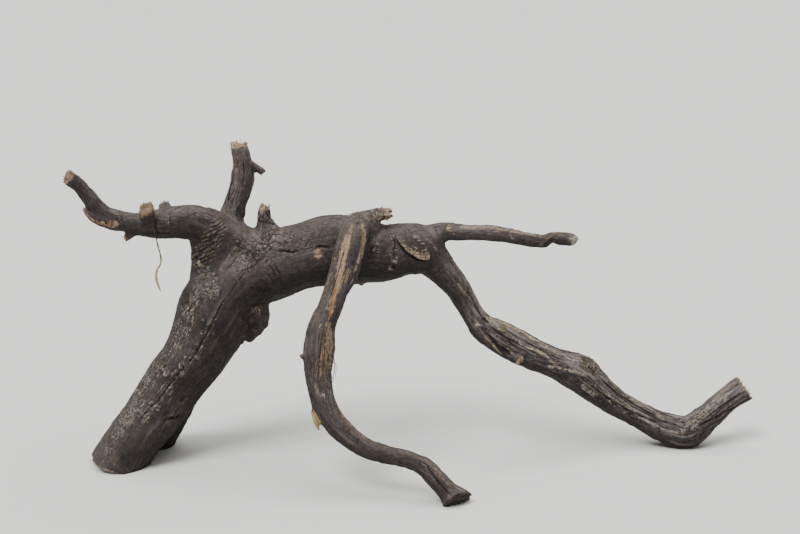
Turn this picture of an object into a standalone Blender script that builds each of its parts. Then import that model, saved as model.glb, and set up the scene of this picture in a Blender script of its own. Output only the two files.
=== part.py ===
"""Dry root: the foot of a small tree, dug up with its roots, pruned, dried and weathered.

It is grown wood, so it is one solid. It stands on its sawn trunk foot, on the tip of its front
root and on the elbow of its right root. +X runs to the right end, +Y away from the front and
+Z up, and the origin is the middle of the foot of its box. Lengths are in millimetres until
the mesh is made.
"""
import math

import bmesh
import bpy
import numpy as np

MM = 0.001

# How fine the solid is.
GRID = 3.0                 # spacing of the voxel grid that joins the limbs
RING_STEP = 4.0            # spacing of the rings along a limb
RING_POINTS = 36           # points round a ring
TRIANGLES = 9600           # triangles kept in the finished solid
END_RUN = 18.0             # length before a limb's end over which its cut is worked in
TRIM_SIDE = 1200.0         # side of the block that trims the feet level
TRIM_HEIGHT = 80.0         # its height
HEEL_SIDE = 240.0          # side of the block that trims the trunk's heel
HEEL_AT = (-384.0, 20.0)   # where the heel's slope leaves the floor
HEEL_SLOPE = 13.0          # how steeply the heel rises to the left, in degrees
HEEL_TURN = 11.0           # how far that slope is turned to the front, in degrees

# Relief of the limbs, as shares of their half widths: three and five flutes, and slow swellings.
BROAD_FLUTE = 0.030
NARROW_FLUTE = 0.022
SWELLING = 0.020
FACING = 3.0               # how soon the carving on the front fades as the skin turns away

# The middle of the limbs' box, which goes to the origin.
MIDDLE = (0.0, 2.0)

# Each limb: x, y, z of its middle line and half its width, from its root out to its end, then
# half its depth where that isn't ROUND times the half width.
ROUND = 0.93
TRUNK = [
    (-402, 36, -14, 34, 54), (-379, 40, 20, 34, 50), (-346, 46, 64, 36, 42), (-318, 52, 104, 38),
    (-297, 56, 133, 41), (-281, 60, 163, 44), (-266, 63, 193, 49), (-249, 66, 222, 48),
    (-223, 69, 244, 48), (-190, 71, 251, 45), (-159, 72, 260, 43), (-120, 74, 268, 45),
    (-81, 74, 268, 42), (-52, 73, 266, 37), (-26, 73, 271, 33), (-6, 72, 272, 31),
    (14, 72, 271, 23),
]
SHOULDER = [(-258, 64, 226, 40, 34), (-262, 64, 254, 34, 30), (-268, 58, 278, 27), (-276, 52, 298, 22)]
REAR_LOBE = [
    (-362, 92, -18, 21, 25), (-353, 89, 4, 21, 25), (-336, 84, 34, 20, 24), (-317, 79, 71, 20, 24),
    (-294, 74, 112, 20, 24), (-274, 70, 150, 18, 20),
]
BURL = [(-236, 62, 212, 20), (-220, 60, 199, 20), (-214, 58, 184, 16), (-217, 58, 171, 11),
        (-230, 58, 158, 11)]
RIGHT_ROOT = [
    (-4, 72, 271, 26), (20, 74, 243, 20), (38, 77, 222, 17), (50, 79, 201, 15),
    (60, 78, 183, 15), (72, 75, 168, 18), (91, 71, 157, 21), (129, 70, 136, 21),
    (164, 74, 119, 19), (198, 80, 101, 24), (231, 86, 74, 20), (258, 88, 54, 18),
    (284, 87, 40, 17), (313, 84, 26, 19), (343, 82, 19, 21), (373, 86, 41, 17),
    (402, 92, 65, 16), (420, 95, 77, 17),
]
THIN_BRANCH = [
    (-2, 72, 281, 20), (12, 71, 289, 15), (27, 68, 295, 12), (44, 62, 295, 10), (71, 54, 296, 10),
    (97, 47, 295, 9), (118, 41, 292, 9), (136, 37, 290, 9), (145, 34, 291, 9), (152, 31, 296, 7),
    (162, 26, 296, 9), (173, 22, 296, 9), (181, 20, 295, 7),
]
FRONT_ROOT = [
    (-80, 62, 296, 26), (-86, 44, 304, 20), (-91, 30, 296, 19), (-95, 20, 281, 19),
    (-100, 12, 260, 18), (-110, 3, 236, 15), (-120, -7, 212, 16), (-128, -15, 193, 18),
    (-131, -25, 167, 19), (-131, -38, 135, 16), (-126, -47, 110, 15), (-113, -56, 88, 14),
    (-97, -61, 73, 13), (-77, -66, 61, 12), (-48, -72, 52, 12), (-22, -78, 49, 11),
    (-4, -83, 42, 11), (10, -88, 29, 12), (22, -92, 17, 13), (30, -94, 9, 16), (36, -95, 2, 20),
]
LEFT_BRANCH = [
    (-228, 68, 262, 34), (-254, 60, 288, 29), (-276, 48, 307, 24), (-300, 36, 313, 21),
    (-327, 23, 314, 18), (-353, 10, 317, 13), (-371, 1, 325, 11), (-388, -7, 337, 9),
    (-400, -14, 354, 9), (-410, -21, 371, 8), (-422, -28, 383, 9),
]
UPPER_BRANCH = [
    (-240, 66, 256, 40), (-247, 68, 284, 26), (-246, 73, 308, 17), (-240, 76, 330, 14),
    (-233, 77, 348, 14), (-230, 79, 360, 15), (-230, 82, 383, 12), (-233, 85, 401, 11),
]
SNAG = [(-199, 68, 276, 27), (-200, 67, 294, 18), (-203, 66, 309, 9), (-202, 66, 326, 6)]
TOP_STUB = [(-92, 52, 298, 17), (-76, 57, 312, 12), (-64, 60, 317, 10), (-50, 63, 319, 11)]
TWIG = [(-232, 80, 384, 7), (-220, 80, 378, 6), (-211, 80, 372, 6), (-203, 78, 368, 4)]
FRONT_STUB = [(-337, 16, 316, 11), (-336, 4, 329, 9), (-335, -6, 341, 9)]
BACK_STUB = [(-318, 30, 316, 9), (-320, 36, 330, 7), (-323, 40, 337, 6)]
TORN_STUB = [(-362, 5, 318, 9), (-379, -4, 323, 9), (-394, -10, 331, 8), (-407, -14, 341, 4)]
SPLINTER = [(-352, 10, 312, 7), (-360, 4, 305, 5), (-367, 0, 301, 3)]
SPUR = [(-131, -30, 162, 9), (-147, -34, 163, 6), (-156, -36, 165, 4)]
SLIVER = [(-128, -46, 112, 7), (-135, -53, 98, 6), (-133, -58, 84, 5), (-130, -60, 77, 4)]
NUB = [(-82, 70, 240, 15), (-82, 68, 227, 7), (-82, 67, 219, 3)]
SIDE_NUB = [(-240, 76, 318, 12), (-227, 72, 318, 6)]

# Limb, the turn of its flutes, the normal of its end face, and how far its splinters stand out.
LIMBS = [
    (TRUNK, 0.4, None, 0), (SHOULDER, 0.0, None, 0), (REAR_LOBE, 2.0, None, 0), (BURL, 0.5, None, 0),
    (RIGHT_ROOT, 1.1, (0.75, -0.1, 0.66), 3), (THIN_BRANCH, 0.2, None, 0),
    (FRONT_ROOT, 2.6, (0.45, -0.68, -0.58), 2),
    (LEFT_BRANCH, 0.9, (-0.7, -0.6, 0.4), 1), (UPPER_BRANCH, 1.7, (0.1, -0.2, 1), 3),
    (SNAG, 0.3, None, 4), (TOP_STUB, 1.2, None, 4), (TWIG, 0.7, None, 2), (FRONT_STUB, 2.2, None, 1),
    (BACK_STUB, 1.4, None, 2), (TORN_STUB, 0.1, None, 2), (SPLINTER, 0.8, None, 1),
    (SPUR, 0.0, None, 1), (SLIVER, 1.9, None, 1), (NUB, 1.0, None, 1), (SIDE_NUB, 1.0, None, 1),
]

# Where the bark runs smoothly from one limb into the next: x, y, z and how far it reaches.
FORKS = [(-266, 50, 272, 42), (-222, 60, 292, 26), (-88, 36, 284, 26), (14, 66, 276, 22),
         (-300, 50, 100, 34), (-228, 62, 205, 24), (-338, 12, 320, 12), (-80, 60, 304, 12)]

# Grooves on the front, which run out at both ends: x and z along each, its half width and depth.
LONG_CRACK = [(-247, 222), (-258, 202), (-266, 183), (-279, 162), (-293, 142), (-309, 125),
              (-325, 107), (-345, 80), (-359, 62)]
LOBE_GROOVE = [(-338, 40), (-318, 72), (-298, 104)]
BODY_CRACK = [(-184, 277), (-170, 279), (-155, 278), (-138, 282)]
HUB_GROOVE = [(-60, 296), (-56, 282), (-54, 268), (-58, 256)]
KNOT_CRACK = [(202, 96), (225, 82), (253, 65), (289, 45), (307, 36)]
RIDGE_GROOVE = [(76, 178), (100, 158), (130, 138), (156, 124)]
GROOVES = [(LONG_CRACK, 3.5, 7.0), (LOBE_GROOVE, 8.0, 4.0), (BODY_CRACK, 4.0, 3.0),
           (HUB_GROOVE, 5.0, 4.0), (KNOT_CRACK, 3.5, 4.0), (RIDGE_GROOVE, 4.0, 3.0)]

# The healed oval of a pruned root on the hub: centre, directions of its long and short half
# axes, their lengths, the height of its lip and the depth inside it.
SCAR_AT = (-15.0, 45.0, 278.0)
SCAR_LONG = (0.78, -0.05, -0.62)
SCAR_SHORT = (0.60, 0.25, 0.76)
SCAR_HALF = (22.0, 13.0)
SCAR_LIP = 4.0
SCAR_DISH = 3.0
SCAR_REACH = 22.0
SCAR_LIP_WIDTH = 0.22      # of the half axes
SCAR_DISH_SHARE = 0.75

# How strongly the joined skin is smoothed, everywhere and at the middle of a fork, and how often.
SMOOTHING = 0.12
FORK_SMOOTHING = 0.6
SMOOTHING_ROUNDS = 14

BARK = (0.075, 0.060, 0.050, 1.0)
BARK_ROUGHNESS = 0.92


def middle_line(stations, step):
    """Points along a smooth curve through the stations, with the half width at each.

    Each span between two stations is the cubic whose slopes at its ends are the mean slopes
    of the neighbouring spans, weighted by their lengths.
    """
    knots = np.array([s if len(s) == 5 else s + (s[3] * ROUND,) for s in stations], float)
    gaps = np.linalg.norm(np.diff(knots[:, :3], axis=0), axis=1)
    slopes = np.diff(knots, axis=0) / gaps[:, None]
    inner = ((slopes[:-1] * gaps[1:, None] + slopes[1:] * gaps[:-1, None])
             / (gaps[:-1] + gaps[1:])[:, None])
    slope = np.vstack([slopes[:1], inner, slopes[-1:]])
    spans = []
    for i, gap in enumerate(gaps):
        count = max(2, round(gap / step))
        t = np.arange(count)[:, None] / count
        spans.append((2 * t ** 3 - 3 * t ** 2 + 1) * knots[i] + (t ** 3 - 2 * t ** 2 + t) * gap * slope[i]
                     + (3 * t ** 2 - 2 * t ** 3) * knots[i + 1] + (t ** 3 - t ** 2) * gap * slope[i + 1])
    return np.vstack(spans + [knots[-1:]])


def limb_rings(stations, turn, cut, jag):
    """Rings of points round a limb: shallow flutes wind along it, and its end is cut or torn."""
    line = middle_line(stations, RING_STEP)
    centre, half, deep = line[:, :3], line[:, 3:4], line[:, 4:5]
    tangent = np.gradient(centre, axis=0)
    tangent /= np.linalg.norm(tangent, axis=1)[:, None]
    away = np.array([0.0, 1.0, 0.0]) - tangent[:, 1:2] * tangent
    away /= np.linalg.norm(away, axis=1)[:, None]
    side = np.cross(tangent, away)
    run = np.concatenate([[0], np.cumsum(np.linalg.norm(np.diff(centre, axis=0), axis=1))])
    s, a = np.meshgrid(run, np.arange(RING_POINTS) * 2 * math.pi / RING_POINTS, indexing="ij")
    flutes = (1 + BROAD_FLUTE * np.cos(3 * a + turn + s / 70)
              + NARROW_FLUTE * np.cos(5 * a - 2 * turn + s / 110)
              + SWELLING * np.sin(s / 17 + 2 * a + turn))
    points = (centre[:, None] + (half * flutes * np.cos(a))[..., None] * side[:, None]
              + (deep * flutes * np.sin(a))[..., None] * away[:, None])
    shift = jag * 0.5 * (np.sin(3 * a + turn) + np.sin(7 * a + 2 * turn))
    if cut:
        face = np.array(cut) / np.linalg.norm(cut)
        shift -= ((points - centre[:, None]) @ face) / (tangent @ face)[:, None]
    share = np.clip((run - run[-1] + END_RUN) / END_RUN, 0, 1)
    return points + (share[:, None] * shift)[..., None] * tangent[:, None]


def limbs_mesh():
    """All the limbs as closed tubes of rings that run into each other."""
    shell = bmesh.new()
    for limb in LIMBS:
        rings = [[shell.verts.new(point * MM) for point in ring] for ring in limb_rings(*limb)]
        for near, far in zip(rings, rings[1:]):
            for i in range(RING_POINTS):
                j = (i + 1) % RING_POINTS
                shell.faces.new((near[i], far[i], far[j], near[j]))
        shell.faces.new(rings[0])
        shell.faces.new(reversed(rings[-1]))
    bmesh.ops.recalc_face_normals(shell, faces=shell.faces)
    mesh = bpy.data.meshes.new("limbs")
    shell.to_mesh(mesh)
    shell.free()
    return mesh


def joined_mesh():
    """The limbs joined in one skin on a voxel grid."""
    limbs = bpy.data.objects.new("limbs", limbs_mesh())
    bpy.context.scene.collection.objects.link(limbs)
    remesh = limbs.modifiers.new("join", "REMESH")
    remesh.mode = "VOXEL"
    remesh.voxel_size = GRID * MM
    mesh = bpy.data.meshes.new_from_object(limbs.evaluated_get(bpy.context.evaluated_depsgraph_get()))
    bpy.data.objects.remove(limbs, do_unlink=True)
    return mesh


def smoothed(points, edges, weight, rounds):
    """Points moved towards the mean of their neighbours, by each point's weight, some rounds."""
    count = np.bincount(edges.ravel(), minlength=len(points))[:, None]
    for _ in range(rounds):
        total = np.zeros_like(points)
        for axis in range(3):
            total[:, axis] = (np.bincount(edges[:, 0], points[edges[:, 1], axis], len(points))
                              + np.bincount(edges[:, 1], points[edges[:, 0], axis], len(points)))
        points = points + weight[:, None] * (total / count - points)
    return points


def groove(points, line, half_width):
    """How deep each point lies in a groove, 0 to 1: a bell across it that fades to both ends."""
    places = points[:, [0, 2]]
    nearest, reached = np.full(len(points), np.inf), np.zeros(len(points))
    for i, (start, end) in enumerate(zip(np.array(line[:-1], float), np.array(line[1:], float))):
        along = end - start
        share = np.clip((places - start) @ along / (along @ along), 0, 1)
        gap = np.linalg.norm(places - start - share[:, None] * along, axis=1)
        reached = np.where(gap < nearest, (i + share) / (len(line) - 1), reached)
        nearest = np.minimum(nearest, gap)
    return np.exp(-(nearest / half_width) ** 2) * np.sqrt(np.sin(math.pi * reached))


def carve(mesh):
    """Work the forks, the cracks and the healed scar into the joined skin."""
    count = len(mesh.vertices)
    points, normals = np.empty(count * 3), np.empty(count * 3)
    edges = np.empty(len(mesh.edges) * 2, dtype=np.int32)
    mesh.edges.foreach_get("vertices", edges)
    mesh.vertices.foreach_get("co", points)
    points = points.reshape(-1, 3) / MM
    edges = edges.reshape(-1, 2)
    weight = np.full(count, SMOOTHING)
    for fork in FORKS:
        gap = np.linalg.norm(points - np.array(fork[:3]), axis=1) / fork[3]
        weight = np.maximum(weight, FORK_SMOOTHING * np.exp(-gap ** 2))
    points = smoothed(points, edges, weight, SMOOTHING_ROUNDS)
    mesh.vertices.foreach_set("co", (points * MM).ravel())
    mesh.vertices.foreach_get("normal", normals)
    normals = normals.reshape(-1, 3)
    front = np.clip(-normals[:, 1] * FACING, 0, 1)
    height = np.zeros(count)
    for line, half_width, deep in GROOVES:
        height -= deep * front * groove(points, line, half_width)
    out = points - np.array(SCAR_AT)
    round_scar = np.hypot(out @ np.array(SCAR_LONG) / SCAR_HALF[0], out @ np.array(SCAR_SHORT) / SCAR_HALF[1])
    near = front * (np.linalg.norm(out, axis=1) < SCAR_REACH + SCAR_HALF[0])
    height += near * SCAR_LIP * np.exp(-((round_scar - 1) / SCAR_LIP_WIDTH) ** 2)
    height -= near * SCAR_DISH * np.exp(-(round_scar / SCAR_DISH_SHARE) ** 4)
    points += height[:, None] * normals
    points[:, :2] -= np.array(MIDDLE)
    mesh.vertices.foreach_set("co", (points * MM).ravel())
    mesh.update()


def trim_block(name, side, place, slope, turn):
    """A block that trims what is below its top face, which slopes down to its +X side."""
    bm = bmesh.new()
    bmesh.ops.create_cube(bm, size=1.0)
    bmesh.ops.scale(bm, vec=(side * MM, side * MM, TRIM_HEIGHT * MM), verts=bm.verts)
    bmesh.ops.translate(bm, vec=(0, 0, -TRIM_HEIGHT * MM / 2), verts=bm.verts)
    mesh = bpy.data.meshes.new(name)
    bm.to_mesh(mesh)
    bm.free()
    block = bpy.data.objects.new(name, mesh)
    block.location = (place[0] * MM, place[1] * MM, 0)
    block.rotation_euler = (0, math.radians(slope), math.radians(turn))
    block.hide_render = True
    block.display_type = "WIRE"
    bpy.context.scene.collection.objects.link(block)
    return block


def bark():
    """Dry grey-brown bark."""
    material = bpy.data.materials.new("bark")
    material.use_nodes = True
    shader = material.node_tree.nodes["Principled BSDF"]
    shader.inputs["Base Color"].default_value = BARK
    shader.inputs["Roughness"].default_value = BARK_ROUGHNESS
    shader.inputs["Metallic"].default_value = 0.0
    return material


def dry_root():
    """The finished root: the carved skin, simplified and trimmed level at the floor."""
    mesh = joined_mesh()
    carve(mesh)
    mesh.name = "dry_root"
    mesh.materials.append(bark())
    root = bpy.data.objects.new("dry_root", mesh)
    bpy.context.scene.collection.objects.link(root)
    mesh.calc_loop_triangles()
    thin = root.modifiers.new("simplify", "DECIMATE")
    thin.ratio = TRIANGLES / len(mesh.loop_triangles)
    thin.use_collapse_triangulate = True
    blocks = (trim_block("floor_trim", TRIM_SIDE, (0, 0), 0, 0),
              trim_block("heel_trim", HEEL_SIDE, HEEL_AT, HEEL_SLOPE, HEEL_TURN))
    for block in blocks:
        trim = root.modifiers.new(block.name, "BOOLEAN")
        trim.operation = "DIFFERENCE"
        trim.object = block
    return root


for old in list(bpy.data.objects):
    bpy.data.objects.remove(old, do_unlink=True)
dry_root()
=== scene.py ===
"""Looks of the dry root: one fused skin of bark, bare wood, cracks and torn ends, with loose bark
scales, fibres, splinters and a hanging rootlet.

Lengths are in millimetres until a mesh is made. A limb is a list of stations (x, y, z of its
middle line, half its width and, where it differs, half its depth), as in the solid model.
"""
import math

import bmesh
import bpy
import numpy as np
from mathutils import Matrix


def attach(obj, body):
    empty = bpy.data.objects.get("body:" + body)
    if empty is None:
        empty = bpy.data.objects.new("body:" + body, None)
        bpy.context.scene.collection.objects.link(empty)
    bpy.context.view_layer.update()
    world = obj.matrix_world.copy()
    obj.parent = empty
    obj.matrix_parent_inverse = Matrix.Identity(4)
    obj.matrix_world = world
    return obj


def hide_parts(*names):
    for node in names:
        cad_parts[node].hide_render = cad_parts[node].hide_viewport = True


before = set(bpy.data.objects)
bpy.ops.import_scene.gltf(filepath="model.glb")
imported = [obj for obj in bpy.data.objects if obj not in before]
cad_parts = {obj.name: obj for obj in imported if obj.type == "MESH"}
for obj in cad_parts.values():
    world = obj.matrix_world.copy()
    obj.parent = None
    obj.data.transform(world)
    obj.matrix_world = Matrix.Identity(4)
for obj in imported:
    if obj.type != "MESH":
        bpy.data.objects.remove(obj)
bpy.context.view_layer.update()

MM = 0.001
BODY = "root"
NODE = "dry_root"
MIDDLE = np.array([0.0, 2.0, 0.0])     # middle of the limbs' box, which lies at the origin

# The camera stands where the photograph was taken from.
EYE = (-0.033, -1.560, 0.684)
PITCH = 15.0               # degrees down
LENS = 60.0
SENSOR = 36.0

# How the skin is made: grid and ring spacing in mm, points round a ring, triangles at the end.
GRID = 1.25
RING_STEP = 3.0
RING_POINTS = 48
SKIN_TRIANGLES = 196000
END_RUN = 18.0             # how much of a limb's end leans to its cut
ROUND = 0.93               # depth of a limb as a share of its width
FORK_BLEND = 0.6           # how hard the skin is smoothed at a fork, and elsewhere
SKIN_BLEND = 0.12
BLEND_ROUNDS = round(14 * (3.0 / GRID) ** 2)
FAR = 99.0                 # further than anything is looked for
EDGE_BLUR = 3.0            # width of the soft edge of a strip
HOLLOW_ROUNDS = 24         # how widely hollows are sought

TRUNK = [
    (-402, 36, -14, 34, 54), (-379, 40, 20, 34, 50), (-346, 46, 64, 36, 42), (-318, 52, 104, 38),
    (-297, 56, 133, 41), (-281, 60, 163, 44), (-266, 63, 193, 49), (-249, 66, 222, 48),
    (-223, 69, 244, 48), (-190, 71, 251, 45), (-159, 72, 260, 43), (-120, 74, 268, 45),
    (-81, 74, 268, 42), (-52, 73, 266, 37), (-26, 73, 271, 33), (-6, 72, 272, 31),
    (14, 72, 271, 23),
]
SHOULDER = [(-258, 64, 226, 40, 34), (-262, 64, 254, 34, 30), (-268, 58, 278, 27), (-276, 52, 298, 22)]
REAR_LOBE = [
    (-362, 92, -18, 21, 25), (-353, 89, 4, 21, 25), (-336, 84, 34, 20, 24), (-317, 79, 71, 20, 24),
    (-294, 74, 112, 20, 24), (-274, 70, 150, 18, 20),
]
BURL = [(-236, 62, 212, 20), (-220, 60, 199, 20), (-214, 58, 184, 16), (-217, 58, 171, 11),
        (-230, 58, 158, 11)]
RIGHT_ROOT = [
    (-4, 72, 271, 26), (20, 74, 243, 20), (38, 77, 222, 17), (50, 79, 201, 15),
    (60, 78, 183, 15), (72, 75, 168, 18), (91, 71, 157, 21), (129, 70, 136, 21),
    (164, 74, 119, 19), (198, 80, 101, 24), (231, 86, 74, 20), (258, 88, 54, 18),
    (284, 87, 40, 17), (313, 84, 26, 19), (343, 82, 19, 21), (373, 86, 41, 17),
    (402, 92, 65, 16), (420, 95, 77, 17),
]
THIN_BRANCH = [
    (-2, 72, 281, 20), (12, 71, 289, 15), (27, 68, 295, 12), (44, 62, 295, 10), (71, 54, 296, 10),
    (97, 47, 295, 9), (118, 41, 292, 9), (136, 37, 290, 9), (145, 34, 291, 9), (152, 31, 296, 7),
    (162, 26, 296, 9), (173, 22, 296, 9), (181, 20, 295, 7),
]
FRONT_ROOT = [
    (-80, 62, 296, 26), (-86, 44, 304, 20), (-91, 30, 296, 19), (-95, 20, 281, 19),
    (-100, 12, 260, 18), (-110, 3, 236, 15), (-120, -7, 212, 16), (-128, -15, 193, 18),
    (-131, -25, 167, 19), (-131, -38, 135, 16), (-126, -47, 110, 15), (-113, -56, 88, 14),
    (-97, -61, 73, 13), (-77, -66, 61, 12), (-48, -72, 52, 12), (-22, -78, 49, 11),
    (-4, -83, 42, 11), (10, -88, 29, 12), (22, -92, 17, 13), (30, -94, 9, 16), (36, -95, 2, 20),
]
LEFT_BRANCH = [
    (-228, 68, 262, 34), (-254, 60, 288, 29), (-276, 48, 307, 24), (-300, 36, 313, 21),
    (-327, 23, 314, 18), (-353, 10, 317, 13), (-371, 1, 325, 11), (-388, -7, 337, 9),
    (-400, -14, 354, 9), (-410, -21, 371, 8), (-422, -28, 383, 9),
]
UPPER_BRANCH = [
    (-240, 66, 256, 40), (-247, 68, 284, 26), (-246, 73, 308, 17), (-240, 76, 330, 14),
    (-233, 77, 348, 14), (-230, 79, 360, 15), (-230, 82, 383, 12), (-233, 85, 401, 11),
]
SNAG = [(-199, 68, 276, 27), (-200, 67, 294, 18), (-203, 66, 309, 9), (-202, 66, 326, 6)]
TOP_STUB = [(-92, 52, 298, 17), (-76, 57, 312, 12), (-64, 60, 317, 9), (-50, 62, 318, 7.5)]
TWIG = [(-232, 80, 384, 7), (-220, 80, 378, 6), (-211, 80, 373, 5), (-206, 79, 369, 5.8), (-203, 78, 367, 5)]
FRONT_STUB = [(-337, 16, 316, 11), (-336, 4, 329, 9), (-335, -6, 341, 9)]
BACK_STUB = [(-318, 30, 316, 9), (-320, 36, 330, 8), (-322, 39, 337, 7.5)]
TORN_STUB = [(-362, 5, 318, 9), (-379, -4, 323, 9), (-394, -10, 331, 8), (-407, -14, 341, 4)]
SPLINTER = [(-352, 10, 312, 7), (-359, 5, 305, 5.5), (-364, 1, 301, 4.5)]
SPUR = [(-131, -30, 162, 8), (-146, -34, 163, 4), (-154, -36, 166, 2.5)]
SLIVER = [(-130, -46, 114, 6), (-136, -52, 101, 4), (-134, -57, 87, 3.5), (-130, -59, 78, 2.5)]
NUB = [(-82, 70, 240, 14), (-82, 68, 229, 5), (-82, 67, 223, 2)]
PEG = [(96, 62, 144, 6), (108, 54, 138, 7), (119, 48, 131, 6.5)]
SIDE_NUB = [(-240, 76, 318, 12), (-227, 72, 318, 6)]

# How light the bark of a limb is, where it differs from the rest.
LIGHTNESS = [(TRUNK, 0.72), (REAR_LOBE, 0.8), (BURL, 0.85), (RIGHT_ROOT, 0.97), (FRONT_ROOT, 0.94),
             (LEFT_BRANCH, 0.84), (UPPER_BRANCH, 1.3)]

# Limb, the turn of its flutes, the normal of its end face, how far its splinters stand out, the
# height of its stringy ridges and how deep its bark is checked.
LIMBS = [
    (TRUNK, 0.4, None, 0, 0.35, 0.5), (SHOULDER, 0.0, None, 0, 0.3, 0.3),
    (REAR_LOBE, 2.0, None, 0, 0.5, 0.5), (BURL, 0.5, None, 0, 0.3, 0.6),
    (RIGHT_ROOT, 1.1, (0.75, -0.1, 0.66), 3, 1.3, 0.35), (THIN_BRANCH, 0.2, (0.72, -0.62, -0.1), 0, 0.8, 0.2),
    (FRONT_ROOT, 2.6, (0.45, -0.68, -0.58), 2, 0.62, 0.25),
    (LEFT_BRANCH, 0.9, (-0.7, -0.6, 0.4), 3, 0.5, 0.5), (UPPER_BRANCH, 1.7, (0.1, -0.2, 1), 5, 0.8, 0.5),
    (SNAG, 0.3, None, 6, 0.6, 0.5), (TOP_STUB, 1.2, None, 9, 0.5, 0.6), (TWIG, 0.7, None, 2, 0.3, 0.2),
    (FRONT_STUB, 2.2, (-0.2, -0.75, 0.6), 2, 0.3, 0.3), (BACK_STUB, 1.4, None, 2, 0.3, 0.3),
    (TORN_STUB, 0.1, None, 2, 0.6, 0.2), (SPLINTER, 0.8, None, 1, 0.4, 0.0),
    (SPUR, 0.0, None, 1, 0.2, 0.0), (SLIVER, 1.9, None, 1, 0.3, 0.0), (NUB, 1.0, None, 1, 0.3, 0.2),
    (SIDE_NUB, 1.0, None, 1, 0.3, 0.2), (PEG, 0.5, None, 1, 0.6, 0.2),
]

# Where the bark runs smoothly from one limb into the next: x, y, z and how far it reaches.
FORKS = [(-266, 50, 272, 42), (-222, 60, 292, 26), (-88, 36, 284, 26), (14, 66, 276, 22),
         (-300, 50, 100, 34), (-228, 62, 205, 24), (-338, 12, 320, 12), (-80, 60, 304, 12)]


def middle_line(stations, step):
    """Points along a smooth curve through the stations, with the half width and depth at each.

    Each span is the cubic whose slopes at its ends are the mean slopes of the neighbouring
    spans, weighted by their lengths.
    """
    knots = np.array([s if len(s) == 5 else s + (s[3] * ROUND,) for s in stations], float)
    gaps = np.linalg.norm(np.diff(knots[:, :3], axis=0), axis=1)
    slopes = np.diff(knots, axis=0) / gaps[:, None]
    inner = ((slopes[:-1] * gaps[1:, None] + slopes[1:] * gaps[:-1, None])
             / (gaps[:-1] + gaps[1:])[:, None])
    slope = np.vstack([slopes[:1], inner, slopes[-1:]])
    spans = []
    for i, gap in enumerate(gaps):
        count = max(2, round(gap / step))
        t = np.arange(count)[:, None] / count
        spans.append((2 * t ** 3 - 3 * t ** 2 + 1) * knots[i] + (t ** 3 - 2 * t ** 2 + t) * gap * slope[i]
                     + (3 * t ** 2 - 2 * t ** 3) * knots[i + 1] + (t ** 3 - t ** 2) * gap * slope[i + 1])
    return np.vstack(spans + [knots[-1:]])


def limb_frame(stations, step):
    """A limb's middle line with its tangent, its side and away directions, and the run along it."""
    line = middle_line(stations, step)
    centre = line[:, :3]
    tangent = np.gradient(centre, axis=0)
    tangent /= np.linalg.norm(tangent, axis=1)[:, None]
    away = np.array([0.0, 1.0, 0.0]) - tangent[:, 1:2] * tangent
    away /= np.linalg.norm(away, axis=1)[:, None]
    run = np.concatenate([[0], np.cumsum(np.linalg.norm(np.diff(centre, axis=0), axis=1))])
    return centre, line[:, 3:4], line[:, 4:5], tangent, np.cross(tangent, away), away, run


def tube_arrays(points):
    """Faces of a closed tube of rings: four-sided round it, and one many-sided at each end."""
    rings, around = points.shape[:2]
    i, j = np.meshgrid(np.arange(rings - 1), np.arange(around), indexing="ij")
    k = (j + 1) % around
    quads = np.stack([i * around + j, (i + 1) * around + j, (i + 1) * around + k, i * around + k], -1)
    last = (rings - 1) * around
    return quads.reshape(-1, 4).tolist() + [list(range(around)), list(range(last + around - 1, last - 1, -1))]


def limb_points(stations, turn, cut, jag):
    """Rings of points round a limb: shallow flutes wind along it, and its end is cut or torn."""
    centre, half, deep, tangent, side, away, run = limb_frame(stations, RING_STEP)
    s, a = np.meshgrid(run, np.arange(RING_POINTS) * 2 * math.pi / RING_POINTS, indexing="ij")
    flutes = (1 + 0.030 * np.cos(3 * a + turn + s / 70) + 0.022 * np.cos(5 * a - 2 * turn + s / 110)
              + 0.020 * np.sin(s / 17 + 2 * a + turn))
    points = (centre[:, None] + (half * flutes * np.cos(a))[..., None] * side[:, None]
              + (deep * flutes * np.sin(a))[..., None] * away[:, None])
    shift = jag * 0.5 * (np.sin(3 * a + turn) + np.sin(7 * a + 2 * turn))
    if cut:
        face = np.array(cut) / np.linalg.norm(cut)
        shift -= ((points - centre[:, None]) @ face) / (tangent @ face)[:, None]
    share = np.clip((run - run[-1] + END_RUN) / END_RUN, 0, 1)
    return points + (share[:, None] * shift)[..., None] * tangent[:, None]


def with_modifier(mesh, kind, **settings):
    """A new mesh: the given one after one modifier."""
    holder = bpy.data.objects.new("holder", mesh)
    bpy.context.scene.collection.objects.link(holder)
    modifier = holder.modifiers.new("change", kind)
    for name, value in settings.items():
        setattr(modifier, name, value)
    made = bpy.data.meshes.new_from_object(holder.evaluated_get(bpy.context.evaluated_depsgraph_get()))
    bpy.data.objects.remove(holder, do_unlink=True)
    return made


def fused_limbs():
    """The limbs' closed tubes joined in one skin on a voxel grid."""
    points, faces = [], []
    for limb in LIMBS:
        rings = limb_points(*limb[:4])
        first = sum(len(p) for p in points)
        faces += [[first + v for v in face] for face in tube_arrays(rings)]
        points.append(rings.reshape(-1, 3))
    mesh = bpy.data.meshes.new("limbs")
    mesh.from_pydata((np.vstack(points) * MM).tolist(), [], faces)
    return with_modifier(mesh, "REMESH", mode="VOXEL", voxel_size=GRID * MM)


def smoothed(points, edges, weight, rounds):
    """Points moved towards the mean of their neighbours, by each point's weight, some rounds."""
    count = np.bincount(edges.ravel(), minlength=len(points))[:, None]
    for _ in range(rounds):
        total = np.empty_like(points)
        for axis in range(points.shape[1]):
            total[:, axis] = (np.bincount(edges[:, 0], points[edges[:, 1], axis], len(points))
                              + np.bincount(edges[:, 1], points[edges[:, 0], axis], len(points)))
        points = points + weight[:, None] * (total / count - points)
    return points


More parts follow.
